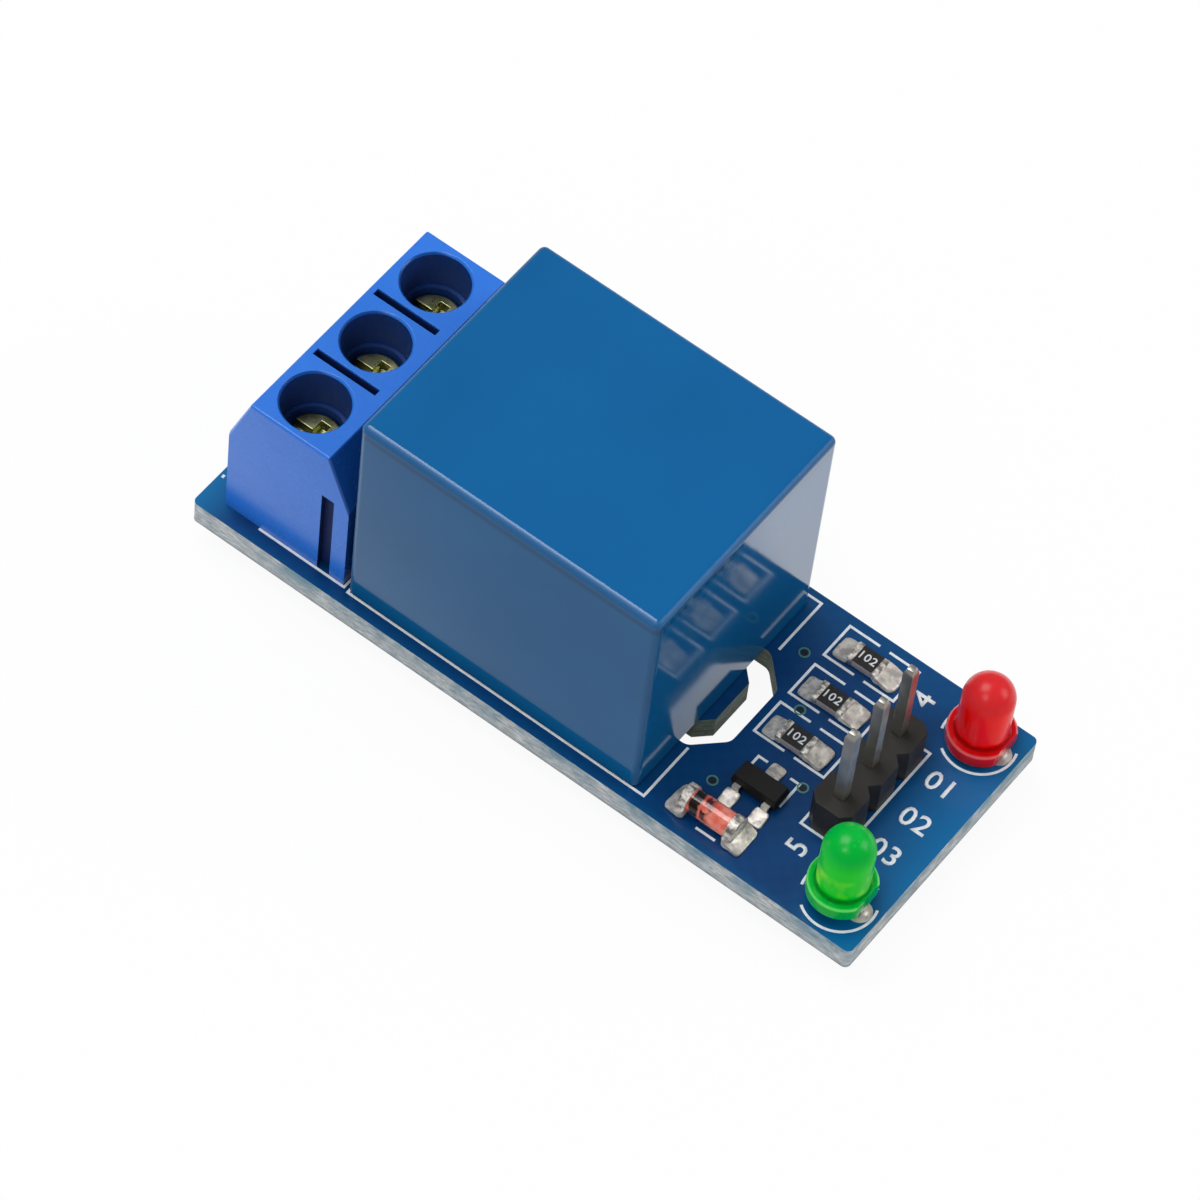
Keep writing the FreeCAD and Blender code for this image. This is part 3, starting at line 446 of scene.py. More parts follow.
def relay_finish():
    """Glossy blue case, with painted light: the lid painted a brighter blue than the side walls, which are
    painted greyer and darker, and a painted dark reflection band just below the lid's edge.
    """
    f = Finish("relay_blue")
    clouds = drift(f)
    # Painted light: the lid is painted a brighter blue than the walls, as if lit from above; the walls are
    # the shaded copy.
    lid_painted_lit = f.blend(clouds, (0.001, 0.095, 0.275), (0.001, 0.106, 0.3))
    walls = f.blend(clouds, (0.001, 0.08, 0.22), (0.001, 0.095, 0.25))
    # Painted reflection: a dark band just below the lid's rounded edge, where it mirrors a dark part of
    # the room.
    depth = (top_of("relay_case") - f.z) / MM
    painted_dark_band = depth.ramp(0.45, 0.6) * depth.ramp(1.0, 0.85)
    walls = f.blend(painted_dark_band * 0.5, walls, (0.0, 0.035, 0.1))
    f.paint(f.blend(f.facing[2].ramp(0.2, 0.9), walls, lid_painted_lit))
    flat = f.highest(*[abs(side) for side in f.facing]).ramp(0.88, 0.99)
    f.set(Roughness=sheen(f, 0.05) + 0.45 - flat * 0.38, IOR=1.55)
    return relief(f, 0.001, 0.012).material


def terminal_finish():
    """Smooth blue housing, with painted shade on its back, where it stands in the relay's shadow, and
    inside its wells, dividing slots and groove, which are also rougher.
    """
    f = Finish("terminal_blue")
    screws = [middle(node) for node in row("terminal_screw")]
    wells = f.lowest(*[f.reach(screw) for screw in screws]) < WELL_REACH
    half_pitch = (screws[1].y - screws[0].y) / 2
    dividers = f.highest(*[f.within(screws[1].x, y, DIVIDER_REACH) for y in (-half_pitch, half_pitch)])
    near, back = corners("terminal_housing")
    groove = f.within(back.x - GROOVE_PLACE[0] * MM, near.y + GROOVE_PLACE[1] * MM, GROOVE_REACH)
    groove = groove * (f.z < BOARD_TOP + GROOVE_TOP * MM)
    # Painted shade: the wells, dividing slots and groove below the top are painted dark, as shade falls in
    # them; they are also rougher.
    hollow = f.highest(wells * 0.82, dividers, groove) * (f.z < back.z - HOLLOW_START * MM)
    # Painted shadow: faces turned towards the relay are painted dark, as the relay shadows them.
    shadow = f.highest(hollow, f.facing[0].ramp(0.15, 0.4) * 0.66)
    blue = f.blend(drift(f), (0.016, 0.15, 0.62), (0.022, 0.168, 0.68))
    f.paint(f.blend(shadow, blue, (0.0, 0.016, 0.12)))
    f.set(Roughness=sheen(f) + 0.22 + hollow * 0.34, IOR=1.5)
    return relief(f, 0.003).material


def cap_finish():
    """Tinned chip ends: beige-white, scuffed dark in places."""
    f = Finish("tinned_cap")
    bright = f.noise(3.2, 5, 0.65).ramp(0.42, 0.6)
    f.paint(f.blend(bright, (0.3, 0.28, 0.26), (0.85, 0.81, 0.74)))
    f.set(Metallic=bright * -0.4 + 0.75, Roughness=bright * 0.15 + 0.32)
    return f.bump(f.noise(5, 3), 0.02).material


def solder_finish():
    """Pale solder, with dull wrinkled patches where it cooled."""
    f = Finish("solder")
    dull = f.noise(1.7, 3, 0.6).ramp(0.42, 0.62)
    f.paint(f.blend(dull, (0.84, 0.79, 0.71), (0.44, 0.41, 0.39)))
    f.set(Metallic=dull * -0.1 + 0.5, Roughness=dull * 0.1 + 0.38)
    return f.bump(f.noise(1.5, 2), 0.04).material


def resistor_finish():
    """Black glaze on the top of a white ceramic chip."""
    f = Finish("chip_ceramic")
    top = f.facing[2] > 0.5
    ceramic = f.blend(f.noise(5), (0.3, 0.26, 0.28), (0.5, 0.46, 0.48))
    glaze = f.blend(f.noise(6, 3).ramp(0.4, 0.7), (0.012, 0.011, 0.011), (0.026, 0.023, 0.021))
    f.paint(f.blend(top, ceramic, glaze))
    f.set(Roughness=0.55 - top * 0.2)
    return f.bump(f.noise(8), 0.004).material


def lens_finish(name, node, colour, cloud, deep, core, rim):
    """Tinted resin: a cloudy dome, a stem with brighter streaks for the lead frame, partly its glint as a
    painted highlight, painted shade in the crease at the stem's foot, and a flange with a painted
    highlight at its rim.
    """
    f = Finish(name)
    near, far = corners(node)
    height = (f.z - (near.z + LENS_FOOT)) / MM
    flange = (far.y - near.y) / 2 / MM
    out = f.reach(Vector((LAMP_X, middle(node).y, 0))) - flange
    tint = f.blend(height.ramp(-0.1, 0.4), deep, colour)
    tint = f.blend(height.ramp(2.7, 3.6), tint, cloud)
    stem = height.ramp(0.3, 0.6) * height.ramp(2.1, 1.7)
    # Streaks of brighter colour in the stem: the lead frame seen through the resin, partly its glint as a
    # painted highlight.
    glint_streaks = f.noise(0.9, 2, 0.4, (1, 1, 0.55)).ramp(0.42, 0.7)
    tint = f.blend(stem * glint_streaks * 0.8, tint, core)
    # Painted shade: a darker ring in the crease where the stem meets the flange.
    painted_shade_in_crease = height.ramp(0.0, 0.06) * height.ramp(0.45, 0.2)
    tint = f.blend(painted_shade_in_crease * 0.6, tint, [part * 0.35 for part in deep])
    # Painted highlight: a pale band at the flange's outer rim, where the rounded resin edge catches light.
    edge = out.ramp(-0.13, -0.04) * height.ramp(-0.2, -0.07) * height.ramp(0.04, 0.0)
    f.paint(f.blend(edge * 0.7, tint, rim))
    f.set(Roughness=f.noise(0.8) * 0.05 + height.ramp(2.4, 3.6) * 0.14 + 0.1, IOR=1.33)
    f.set(Transmission_Weight=0.1, Subsurface_Weight=0.8, Subsurface_Scale=2.2 * MM)
    f.set(Subsurface_Radius=(1.0, 1.0, 1.0))
    return f.bump(f.noise(0.6, 1), 0.012).material


def diode_finish():
    """Red-orange glass over a dark die, with the cathode band at the terminal's side."""
    f = Finish("diode_glass")
    along = (f.x - corners("diode_glass")[0].x) / MM + f.noise(1.6, 2) * 0.5
    glass = f.blend(f.noise(1.3, 3).ramp(0.35, 0.7), (0.72, 0.08, 0.05), (0.94, 0.38, 0.28))
    die = along.ramp(1.0, 1.15) * along.ramp(1.7, 1.4)
    glass = f.blend(die * f.noise(2.5, 2).ramp(0.4, 0.55), glass, (0.08, 0.012, 0.01))
    band = along.ramp(0.3, 0.45) * along.ramp(1.0, 0.86)
    f.paint(f.blend(band, glass, (0.015, 0.008, 0.007)))
    f.set(Roughness=f.noise(3) * 0.06 + 0.12, IOR=1.52)
    f.set(Transmission_Weight=0.12, Coat_Weight=0.6, Coat_Roughness=0.12)
    return f.material


def ink_finish():
    """White ink, a little thin in places."""
    f = Finish("white_print")
    f.paint(f.blend(f.noise(3, 4).ramp(0.25, 0.75), (0.62, 0.68, 0.74), (0.83, 0.86, 0.88)))
    f.set(Roughness=0.6)
    return f.bump(f.noise(12), 0.004).material


MASK = board_finish()
BLUE_TERMINAL = terminal_finish()
BLUE_RELAY = relay_finish()
BLUE_BASE = moulded("relay_base_blue", (0.002, 0.06, 0.2), (0.003, 0.075, 0.24), 0.5)
BLACK_HEADER = moulded("header_black", (0.007, 0.006, 0.005), (0.022, 0.019, 0.016), 0.45,
                       grain_mm=0.008, waves_mm=0.02, ior=1.42)
BLACK_BODY = moulded("transistor_black", (0.006, 0.006, 0.006), (0.012, 0.011, 0.01), 0.55,
                     grain_mm=0.008, ior=1.35)
BLACK_BOBBIN = moulded("bobbin_black", (0.02, 0.02, 0.02), (0.03, 0.03, 0.03), 0.45)
PALE_RING = moulded("via_mask", (0.02, 0.11, 0.1), (0.08, 0.24, 0.2), 0.4)
# Painted shade: the dark discs that stand in for the shade inside the vias.
HOLE_SHADE_DISC = moulded("via_hole_shade", (0.004, 0.006, 0.006), (0.008, 0.012, 0.012), 0.7)
COPPER_BLUE = moulded("mask_over_copper", (0.002, 0.1, 0.26), (0.003, 0.13, 0.32), 0.25, grain_mm=0.004)
TIN_PIN = metal("tinned_pin", (0.56, 0.54, 0.5), (0.74, 0.72, 0.67), 0.36,
                patches_per_mm=0.7, relief_mm=0.003)
PLATED_STEEL = metal("plated_steel", (0.55, 0.54, 0.5), (0.68, 0.67, 0.63), 0.3)
SCREW_STEEL = metal("screw_steel", (0.36, 0.38, 0.14), (0.66, 0.66, 0.38), 0.28,
                    patches_per_mm=0.9, relief_mm=0.008)
IRON = metal("soft_iron", (0.45, 0.45, 0.44), (0.56, 0.56, 0.55), 0.35)
BRASS = metal("contact_brass", (0.65, 0.42, 0.18), (0.78, 0.55, 0.28), 0.3)
COPPER_WIRE = metal("coil_copper", (0.4, 0.13, 0.05), (0.55, 0.2, 0.08), 0.35,
                    patches_per_mm=6.0, relief_mm=0.02)
TIN_CAP = cap_finish()
SOLDER = solder_finish()
CHIP = resistor_finish()
GLASS = diode_finish()
INK_WHITE = ink_finish()
RED_LENS = lens_finish("lens_red", "led_red_lens", colour=(0.93, 0.002, 0.001),
                       cloud=(0.64, 0.022, 0.026), deep=(0.58, 0.003, 0.006),
                       core=(1.0, 0.006, 0.003), rim=(0.85, 0.2, 0.22))
GREEN_LENS = lens_finish("lens_green", "led_green_lens", colour=(0.0, 0.6, 0.012),
                         cloud=(0.0, 0.43, 0.045), deep=(0.0, 0.4, 0.04),
                         core=(0.32, 0.9, 0.01), rim=(0.2, 0.85, 0.2))

DRESSED = {
    MASK: ["circuit_board"],
    BLUE_TERMINAL: ["terminal_housing"],
    BLUE_RELAY: ["relay_case"],
    BLUE_BASE: ["relay_base"],
    BLACK_HEADER: ["header_base"],
    BLACK_BODY: ["transistor_body"],
    BLACK_BOBBIN: ["relay_bobbin"],
    COPPER_WIRE: ["relay_coil"],
    IRON: ["relay_yoke", "relay_core", "relay_armature"],
    BRASS: ["relay_contact_spring", "relay_open_contact", "relay_closed_contact", "relay_common_terminal"],
    TIN_PIN: ["relay_coil_pin_1", "relay_coil_pin_2", "transistor_leads", "led_red_leads",
              "led_green_leads"] + row("header_pin"),
    TIN_CAP: ["resistor_end_caps", "diode_end_caps"],
    CHIP: row("resistor"),
    SOLDER: ["solder_topside", "solder_underside"],
    PLATED_STEEL: row("terminal_frame") + row("pressure_plate"),
    SCREW_STEEL: row("terminal_screw"),
    GLASS: ["diode_glass"],
    RED_LENS: ["led_red_lens"],
    GREEN_LENS: ["led_green_lens"]}


def dress():
    """Gives every piece of the frame its finish."""
    for material, nodes in DRESSED.items():
        for name in nodes:
            for material_slot in frame["nodes"][name].material_slots:
                material_slot.material = material


# Modelling helpers

def select_only(*objects):
    bpy.ops.object.select_all(action="DESELECT")
    for obj in objects:
        obj.select_set(True)
    bpy.context.view_layer.objects.active = objects[0]


def take(name):
    """Names the object that was just made."""
    obj = bpy.context.object
    obj.name = name
    return obj


def settle(obj):
    """Moves the object's place, turn and size into its mesh."""
    select_only(obj)
    bpy.ops.object.transform_apply(location=True, rotation=True, scale=True)
    return obj


def join(name, objects):
    select_only(*objects)
    bpy.ops.object.join()
    return settle(take(name))


def finish_piece(obj, material, body="board"):
    obj.data.materials.clear()
    obj.data.materials.append(material)
    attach(obj, body)
    return obj


def pick(obj, chosen):
    """Opens the object for editing with only the chosen corners selected."""
    select_only(obj)
    bpy.ops.object.mode_set(mode="EDIT")
    bpy.ops.mesh.select_mode(type="VERT")
    bpy.ops.mesh.select_all(action="DESELECT")
    bpy.ops.object.mode_set(mode="OBJECT")
    for corner in obj.data.vertices:
        corner.select = bool(chosen(corner.co))
    bpy.ops.object.mode_set(mode="EDIT")


def cut_off(obj, place, direction, fill):
    """Cuts away what lies past a plane, and closes the cut if the piece has an inside."""
    pick(obj, lambda co: True)
    bpy.ops.mesh.bisect(plane_co=place, plane_no=direction, clear_outer=True, use_fill=fill,
                        threshold=CLOSE)
    bpy.ops.object.mode_set(mode="OBJECT")


def modify(obj, kind, **settings):
    """Adds a modifier and applies it at once."""
    modifier = obj.modifiers.new(kind.lower(), kind)
    for name, value in settings.items():
        setattr(modifier, name, value)
    select_only(obj)
    bpy.ops.object.modifier_apply(modifier=modifier.name)


def smooth(obj, angle=35):
    select_only(obj)
    bpy.ops.object.shade_smooth_by_angle(angle=math.radians(angle))
    return obj


def thicken(obj, thickness):
    """Extrudes a flat sheet up to its thickness and turns its faces outwards."""
    select_only(obj)
    bpy.ops.object.mode_set(mode="EDIT")
    bpy.ops.mesh.select_all(action="SELECT")
    bpy.ops.mesh.remove_doubles(threshold=CLOSE)
    bpy.ops.mesh.extrude_region_move(TRANSFORM_OT_translate={"value": (0, 0, thickness)})
    bpy.ops.mesh.select_all(action="SELECT")
    bpy.ops.mesh.normals_make_consistent(inside=False)
    bpy.ops.object.mode_set(mode="OBJECT")
    return obj


def strip(start, end, width=INK_WIDTH):
    """Flat strip from one place to another, longer by half its width at each end."""
    run = end - start
    bpy.ops.mesh.primitive_plane_add(size=1, location=(start + end) / 2,
                                     rotation=(0, 0, math.atan2(run.y, run.x)))
    obj = bpy.context.object
    obj.scale = (run.length + width, width, 1)
    return settle(obj)


def spun(outline, centre, steps, degrees=360.0, start=0.0):
    """Draws an outline of radius and height about an upright line, and spins it round."""
    centre = Vector(centre)
    bpy.ops.mesh.primitive_plane_add(size=MM, location=centre)
    obj = bpy.context.object
    bpy.ops.object.mode_set(mode="EDIT")
    bpy.ops.mesh.select_all(action="SELECT")
    bpy.ops.mesh.merge(type="CENTER")
    (radius, height), rest = outline[0], outline[1:]
    bpy.ops.transform.translate(value=(radius, 0, height))
    for next_radius, next_height in rest:
        bpy.ops.mesh.extrude_region_move(
            TRANSFORM_OT_translate={"value": (next_radius - radius, 0, next_height - height)})
        radius, height = next_radius, next_height
    bpy.ops.mesh.select_all(action="SELECT")
    if start:
        bpy.ops.transform.rotate(value=-math.radians(start), orient_axis="Z", center_override=centre)
    bpy.ops.mesh.spin(steps=steps, angle=math.radians(degrees), center=centre, axis=(0, 0, 1))
    bpy.ops.mesh.select_all(action="SELECT")
    bpy.ops.mesh.remove_doubles(threshold=CLOSE)
    bpy.ops.mesh.normals_make_consistent(inside=False)
    bpy.ops.object.mode_set(mode="OBJECT")
    if sum(face.center.dot(face.normal) * face.area for face in obj.data.polygons) < 0:
        bpy.ops.object.mode_set(mode="EDIT")
        bpy.ops.mesh.flip_normals()
        bpy.ops.object.mode_set(mode="OBJECT")
    return settle(obj)


def arc(centre, radius, start_deg, end_deg):
    """Printed line round part of a circle."""
    turn = end_deg - start_deg
    outline = [(radius - INK_WIDTH / 2, 0), (radius + INK_WIDTH / 2, 0)]
    return spun(outline, centre, int(turn / ARC_STEP), turn, start_deg)


def ring(centre, inner, outer, thickness):
    """Flat ring with softened upper edges."""
    soft = thickness * 0.3
    outline = [(inner, 0), (inner, thickness - soft), (inner + soft, thickness),
               (outer - soft, thickness), (outer, thickness - soft), (outer, 0), (inner, 0)]
    return smooth(spun(outline, centre, steps=32))


def lettering(words, centre, size, turn=0.0):
    """Flat figures about a centre, made a mesh before their place is applied."""
    bpy.ops.object.text_add(location=(0, 0, 0))
    text = bpy.context.object.data
    text.body = words
    text.size = size
    text.offset = size * FIGURE_WEIGHT
    text.space_character = FIGURE_SPACING
    text.align_x = "CENTER"
    text.align_y = "CENTER"
    text.resolution_u = 3
    bpy.ops.object.convert(target="MESH")
    obj = bpy.context.object
    obj.location = centre
    obj.rotation_euler.z = turn
    return settle(obj)


def softened(node, width_mm):
    """The piece's own shape with its sharp edges a little rounded, as moulding or plating leaves them."""
    source = frame["nodes"][node]
    obj = bpy.data.objects.new("soft_" + node, source.data.copy())
    bpy.context.scene.collection.objects.link(obj)
    select_only(obj)
    bpy.ops.object.mode_set(mode="EDIT")
    bpy.ops.mesh.customdata_custom_splitnormals_clear()
    bpy.ops.mesh.select_all(action="SELECT")
    bpy.ops.mesh.remove_doubles(threshold=COPY_CLOSE)
    bpy.ops.mesh.dissolve_limited(angle_limit=math.radians(FLAT_SEAM))
    bpy.ops.object.mode_set(mode="OBJECT")
    modify(obj, "BEVEL", width=width_mm * MM, segments=2, limit_method="ANGLE",
           angle_limit=math.radians(SHARP_EDGE))
    smooth(obj, SMOOTH_EDGE)
    modify(obj, "WEIGHTED_NORMAL", keep_sharp=True)
    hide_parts(node)
    finish_piece(obj, source.data.materials[0], source["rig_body"])


# Print on the board

def polyline(points):
    """Strips from place to place, every other one a hair higher so that they cross cleanly."""
    lifts = [i % 2 * INK_STEP / MM for i in range(len(points))]
    return [strip(board(*a, lift), board(*b, lift)) for a, b, lift in zip(points, points[1:], lifts)]


def silk_print():
    """Outlines of the parts, in white ink."""
    lines = polyline(RELAY_LINE)
    for points in TERMINAL_LINES:
        lines += polyline(points)
    for near, far in CHIP_ROWS:
        for open_end, closed_end in CHIP_BRACKETS:
            lines += polyline([(open_end, near), (closed_end, near), (closed_end, far), (open_end, far)])
    for points in TRANSISTOR_LINES + DIODE_LINES:
        lines += polyline(points)
    lines += polyline(HEADER_LINE + HEADER_LINE[:1])
    for lamp in ("led_red_lens", "led_green_lens"):
        centre = on_top((LAMP_X, middle(lamp).y))
        lines += [arc(centre, LAMP_RING, side + LAMP_RING_GAP, side + 180 - LAMP_RING_GAP)
                  for side in (0, 180)]
    obj = join("board_print", lines)
    cut_off(obj, (0, BOARD_HIGH.y - EDGE_CLEAR, 0), (0, 1, 0), fill=False)
    finish_piece(thicken(obj, INK), INK_WHITE)


def numbers():
    """Plain numbers beside the pins and lamps, and on the black glaze of the chips."""
    marks = [lettering(words, board(x, y), FIGURE_SIZE, turn) for words, x, y, turn in FIGURES]
    finish_piece(thicken(join("board_numbers", marks), INK), INK_WHITE)
    for i, chip in enumerate(row("resistor"), 1):
        spot = middle(chip)
        code = lettering(CHIP_CODE, (spot.x + CODE_SHIFT, spot.y, top_of(chip) - INK / 4), CODE_SIZE)
        code.name = "chip_code_%d" % i
        finish_piece(thicken(code, INK), INK_WHITE)


# Copper and solder

def vias():
    """Small plated holes that join the two copper faces, drawn as rings with a dark disc of painted shade
    in each hole.
    """
    disc = [(0, 0), (VIA_HOLE, 0), (VIA_HOLE, VIA_FILL), (0, VIA_FILL / 2)]
    for i, (x, y) in enumerate(VIAS, 1):
        upper = board(x, y)
        rings = [ring(place, VIA_LINE, VIA_RING, PAD) for place in (upper, under(upper, PAD))]
        finish_piece(join("via_ring_%d" % i, rings), PALE_RING)
        # Painted shade: a dark disc at the top and bottom of each hole stands in for the shade inside the
        # via.
        shade_discs = [spun(disc, place, steps=24) for place in (upper, under(upper, VIA_FILL))]
        finish_piece(join("via_bore_%d" % i, shade_discs), HOLE_SHADE_DISC)


def lamp_leads():
    """The middle of each lamp's two leads."""
    return [(LAMP_X + step, middle(lamp).y) for lamp in ("led_red_lens", "led_green_lens")
            for step in (-LEAD_STEP, LEAD_STEP)]


def tails():
    """Every soldered tail under the board: its middle and its half diagonal."""
    coil_pins = ["relay_coil_pin_1", "relay_coil_pin_2"]
    places = []
    for nodes, half in ((row("terminal_screw"), CLAMP_TAIL), (coil_pins, COIL_TAIL),
                        (row("header_pin"), PIN_TAIL)):
        places += [(middle(node).x, middle(node).y, half) for node in nodes]
    side = middle("relay_coil_pin_2").y
    contact_x = middle("relay_open_contact").x
    places.append((corners("relay_common_terminal")[1].x - BLADE_HALF, 0.0, CONTACT_TAIL))
    places += [(contact_x, -side, CONTACT_TAIL), (contact_x, side, CONTACT_TAIL)]
    return places + [(x, y, LEAD_TAIL) for x, y in lamp_leads()]


def tail_solder():
    """Solder drawn down every tail into a smooth hollow-sided cone on its round pad."""
    steps = [i / CONE_STEPS for i in range(CONE_STEPS + 1)]
    for i, (x, y, half) in enumerate(tails(), 1):
        rim, neck = half + CONE_PAD, half + CONE_NECK
        sides = [(neck + (rim - neck) * (1 - t) ** CONE_HOLLOW, -PAD - (CONE_DROP - PAD) * t)
                 for t in steps]
        tip = [(neck * 0.8, -CONE_DROP * 1.04), (0, -CONE_DROP * 1.05)]
        cone = smooth(spun([(0, PAD / 2), (rim, 0)] + sides + tip, under((x, y), 0), steps=36), 60)
        cone.name = "tail_solder_%d" % i
        if i == 1:
            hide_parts("solder_underside")
        finish_piece(cone, SOLDER)


def lamp_solder():
    """Low domes of solder round the lamps' leads, on top of the board."""
    outline = [(radius * MM, height * MM) for radius, height in LAMP_DOME]
    for i, place in enumerate(lamp_leads(), 1):
        obj = spun(outline, on_top(place), steps=32)
        obj.name = "lamp_solder_%d" % i
        finish_piece(smooth(obj, 50), SOLDER)


def underside_tracks():
    """Wide tracks to the screw terminal and narrow ones to the pins, under the mask."""
    poles = [middle(node).xy for node in row("terminal_screw")]
    pins = [middle(node).xy for node in row("header_pin")]
    coil = middle("relay_coil_pin_2").xy
    contact_x = middle("relay_open_contact").x
    common_x = corners("relay_common_terminal")[1].x
    chip_x = middle("resistor_2").x
    lead_x = LAMP_X - LEAD_STEP
    wide = [((contact_x, -coil.y), poles[0]), ((contact_x, coil.y), poles[2]), ((common_x, 0), poles[1])]
    narrow = [((coil.x, coil.y), (chip_x, coil.y)), ((chip_x, coil.y), pins[2]),
              ((coil.x, -coil.y), (chip_x, -coil.y)), ((chip_x, -coil.y), pins[0]),
              (pins[1], (LAMP_X, pins[1].y)),
              (pins[0], (lead_x, middle("led_green_lens").y)),
              (pins[2], (lead_x, middle("led_red_lens").y))]
    tracks = [strip(under(a, PAD), under(b, PAD), WIDE_TRACK) for a, b in wide]
    for i, (a, b) in enumerate(narrow):
        depth = PAD - i % 2 * INK_STEP
        tracks.append(strip(under(a, depth), under(b, depth), NARROW_TRACK))
    for track in tracks:
        thicken(track, PAD)
    finish_piece(join("underside_tracks", tracks), COPPER_BLUE)


def solder_bead(name, spot, turn_deg, length, width, rise, tip, lumps):
    """Solder that runs down from a part's end over its pad: a wedge, hollowed, rounded and uneven."""
    length, width, rise = length * MM, width * MM, rise * MM
    bpy.ops.mesh.primitive_cube_add(size=1, location=(0, 0, 0))
    obj = take(name)
    obj.location = (length / 2, 0, rise / 2)
    obj.scale = (length, width, rise)
    settle(obj)
    pick(obj, lambda co: co.x > length / 2 and co.z > rise / 2)
    bpy.ops.transform.translate(value=(0, 0, (tip - 1) * rise))
    bpy.ops.mesh.select_all(action="SELECT")
    bpy.ops.mesh.subdivide(number_cuts=2)
    bpy.ops.object.mode_set(mode="OBJECT")
    pick(obj, lambda co: 0.2 * length < co.x < 0.8 * length and abs(co.y) < 0.4 * width
         and co.z > 0.2 * rise)
    bpy.ops.transform.translate(value=(0, 0, -BEAD_SAG * rise))
    bpy.ops.object.mode_set(mode="OBJECT")
    obj.rotation_euler.z = math.radians(turn_deg)
    obj.location = spot
    settle(obj)
    modify(obj, "SUBSURF", levels=3, render_levels=3)
    clouds = bpy.data.textures.new("solder_lumps", "CLOUDS")
    clouds.noise_scale = LUMP_SIZE
    modify(obj, "DISPLACE", texture=clouds, strength=lumps * MM, mid_level=0.5, texture_coords="GLOBAL")
    return finish_piece(smooth(obj, 60), SOLDER)


def top_solder():
    """Beads at the chips, the diode and the transistor's three toes."""
    turns = {1: 0, -1: 180}
    for i, chip in enumerate(row("resistor"), 1):
        for end, (side, step, form) in CHIP_BEADS.items():
            spot = on_top(middle(chip), x=side * step)
            bead = solder_bead("chip_solder_%s_%d" % (end, i), spot, turns[side], **form)
            if (end, i) == ("right", 1):
                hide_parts("solder_topside")
    for i, side in enumerate((-1, 1), 1):
        spot = on_top(middle("diode_glass"), x=side * DIODE_BEAD_STEP)
        solder_bead("diode_solder_%d" % i, spot, turns[side], **DIODE_BEAD)
    for i, (x, y) in enumerate(TOES, 1):
        toe = on_top(middle("transistor_body"), x, y)
        solder_bead("transistor_solder_%d" % i, toe, math.copysign(90, y), **TOE_BEAD)


# Lamps and softened edges

def lamp_lens(node, material, slot):
    """Bullet lens with a rounded flange, flattened at the cathode's side."""
    near, far = corners(node)
    flange = (far.y - near.y) / 2
    dome = far.z - near.z - LENS_RADIUS
    outline = [(0, 0), (flange - LENS_SOFT, 0), (flange, LENS_SOFT), (flange, LENS_FOOT - LENS_SOFT),
               (flange - LENS_SOFT, LENS_FOOT), (LENS_RADIUS + LENS_SOFT, LENS_FOOT),
               (LENS_RADIUS, LENS_FOOT + LENS_SOFT)]
    for turn in map(math.radians, range(0, 90, 6)):
        outline.append((LENS_RADIUS * math.cos(turn), dome + LENS_RADIUS * math.sin(turn)))
    outline.append((0, dome + LENS_RADIUS))
    obj = spun(outline, (LAMP_X, middle(node).y, near.z), steps=64)
    cut_off(obj, (far.x, 0, 0), (1, 0, 0), fill=True)
    obj.name = slot
    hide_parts(node)
    finish_piece(smooth(obj, 40), material)


def soften_edges():
    """Rounds the edges of the moulded and plated pieces, by widths in millimetres."""
    softened("terminal_housing", 0.08)
    softened("header_base", 0.04)
    softened("transistor_body", 0.05)
    softened("resistor_end_caps", 0.05)
    for screw, chip, pin in zip(row("terminal_screw"), row("resistor"), row("header_pin")):
        softened(screw, 0.07)
        softened(chip, 0.02)
        softened(pin, 0.02)


# Floor, light and camera

def away_from_camera(x, y):
    """How far a place or direction lies along the camera's line of sight, in plan."""
    return y * math.cos(CAMERA_AZIMUTH) - x * math.sin(CAMERA_AZIMUTH)


def backdrop():
    """Pale floor that the camera, gloss and glass see as white, with the object's shadow on it."""
    bpy.ops.mesh.primitive_plane_add(size=FLOOR_SIZE, location=(0, 0, cad_box[0][2]))
    floor = take("floor")
    f = Finish("floor_white")
    f.paint(FLOOR_WHITE)
    f.set(Roughness=0.9, Specular_IOR_Level=0.0)
    in_gloss = f.rays("Glossy")
    seen = f.highest(f.rays("Camera") * FLOOR_SEEN, in_gloss, f.rays("Transmission") * FLOOR_SEEN)
    behind = (away_from_camera(f.x, f.y) / MM).ramp(*FLOOR_TURN)
    near, far = FLOOR_IN_GLOSS
    strength = 1 + in_gloss * (behind * behind * (far - near) + (near - 1))
    glow = f.node("ShaderNodeEmission", None, {"Color": (1, 1, 1, 1), "Strength": strength})
    mixed = f.node("ShaderNodeMixShader", None, {0: seen, 1: f.shader.outputs[0], 2: glow.outputs[0]})
    f.feed(f.tree.nodes["Material Output"].inputs["Surface"], mixed.outputs[0])
    floor.data.materials.append(f.material)


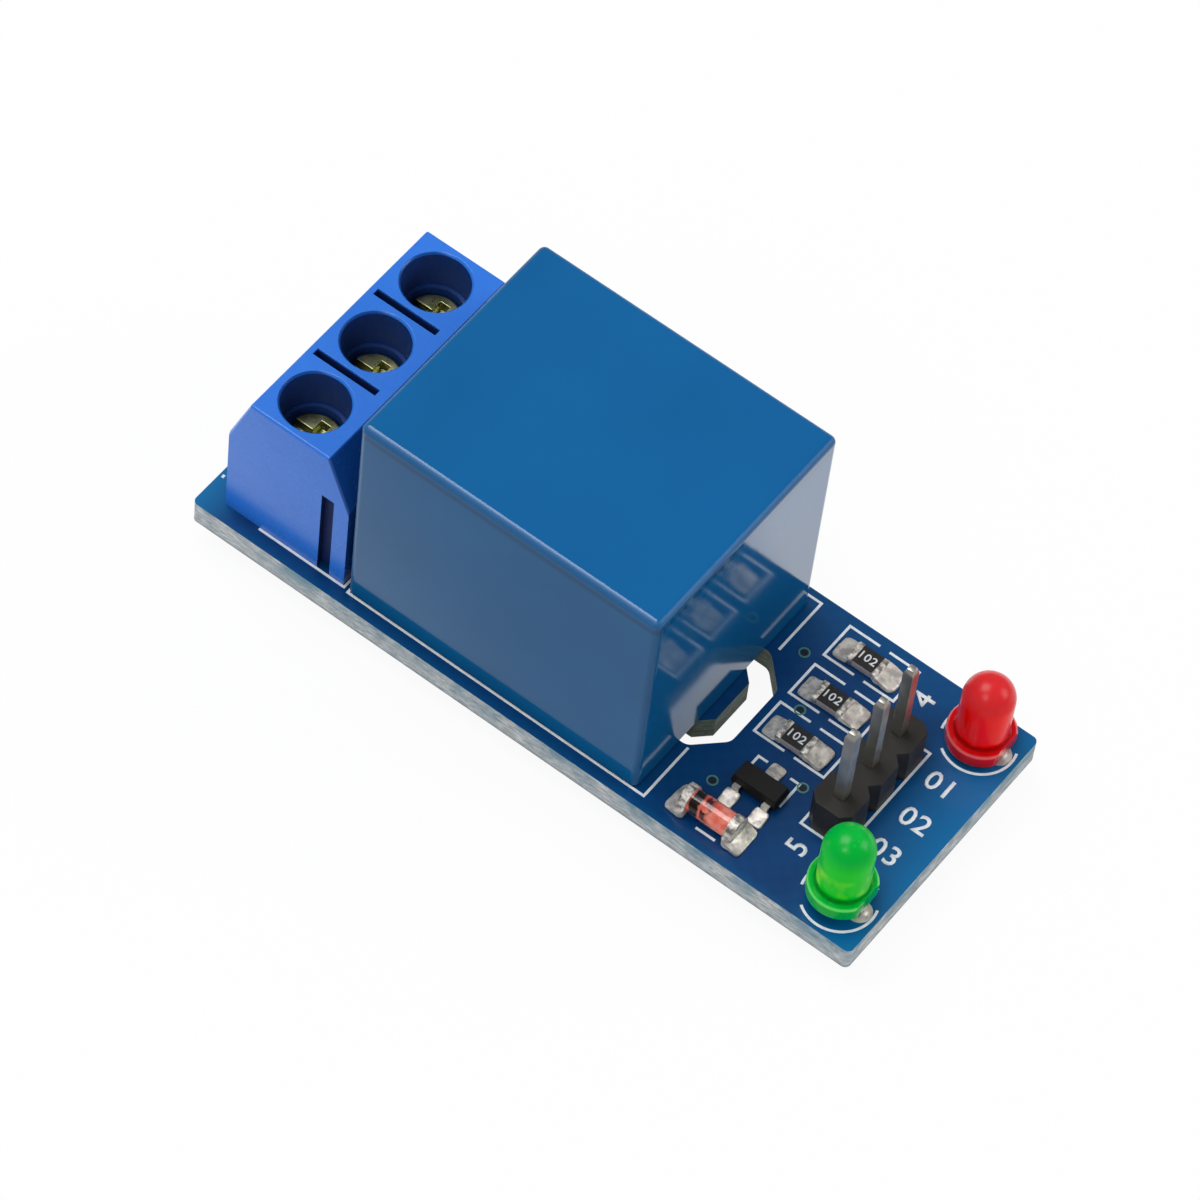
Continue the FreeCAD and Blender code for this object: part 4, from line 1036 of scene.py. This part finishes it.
def sky():
    """Even pale light, white to the camera and glass; gloss sees a dim room, paler at its far side."""
    world = bpy.data.worlds.new("studio")
    bpy.context.scene.world = world
    world.use_nodes = True
    t = Tree(world.node_tree)
    x, y, _ = t.split(t.node("ShaderNodeTexCoord").outputs["Generated"])
    room = away_from_camera(x, y).ramp(*SKY_TURN) * SKY_RISE + SKY_IN_GLOSS
    in_gloss = t.rays("Glossy")
    white = t.highest(t.rays("Camera"), t.rays("Transmission"))
    strength = t.highest(white, in_gloss * room + (1 - in_gloss) * SKY_FILL)
    background = t.tree.nodes["Background"]
    background.inputs["Color"].default_value = (1, 1, 1, 1)
    t.feed(background.inputs["Strength"], strength)


def softbox(name, spot, width, height, watts):
    """Rectangular lamp that faces the object."""
    light = bpy.data.lights.new(name, "AREA")
    light.shape = "RECTANGLE"
    light.size, light.size_y = width, height
    light.energy = watts
    obj = bpy.data.objects.new(name, light)
    bpy.context.scene.collection.objects.link(obj)
    obj.location = spot
    obj.rotation_euler = (Vector(spot) - CAMERA_AIM).to_track_quat("Z", "Y").to_euler()


def camera():
    """The photograph's camera, set back from where it aims."""
    view = bpy.data.cameras.new("photo_camera")
    view.lens, view.sensor_width, view.sensor_fit = LENS_MM, SENSOR_MM, "HORIZONTAL"
    view.clip_start, view.clip_end = CAMERA_REACH
    obj = bpy.data.objects.new("photo_camera", view)
    bpy.context.scene.collection.objects.link(obj)
    turn = (Matrix.Rotation(CAMERA_AZIMUTH, 4, "Z")
            @ Matrix.Rotation(math.pi / 2 - CAMERA_ELEVATION, 4, "X")
            @ Matrix.Rotation(CAMERA_ROLL, 4, "Z"))
    back = turn @ Vector((0, 0, 1))
    obj.matrix_world = Matrix.Translation(CAMERA_AIM + back * CAMERA_DISTANCE) @ turn
    bpy.context.scene.camera = obj


dress()
silk_print()
numbers()
vias()
tail_solder()
lamp_solder()
underside_tracks()
top_solder()
lamp_lens("led_red_lens", RED_LENS, "lens_red")
lamp_lens("led_green_lens", GREEN_LENS, "lens_green")
soften_edges()
backdrop()
sky()
for lamp_name, (lamp_place, lamp_width, lamp_height, lamp_watts) in LAMPS.items():
    softbox(lamp_name, lamp_place, lamp_width, lamp_height, lamp_watts)
camera()
bpy.context.scene.view_settings.view_transform = "Standard"
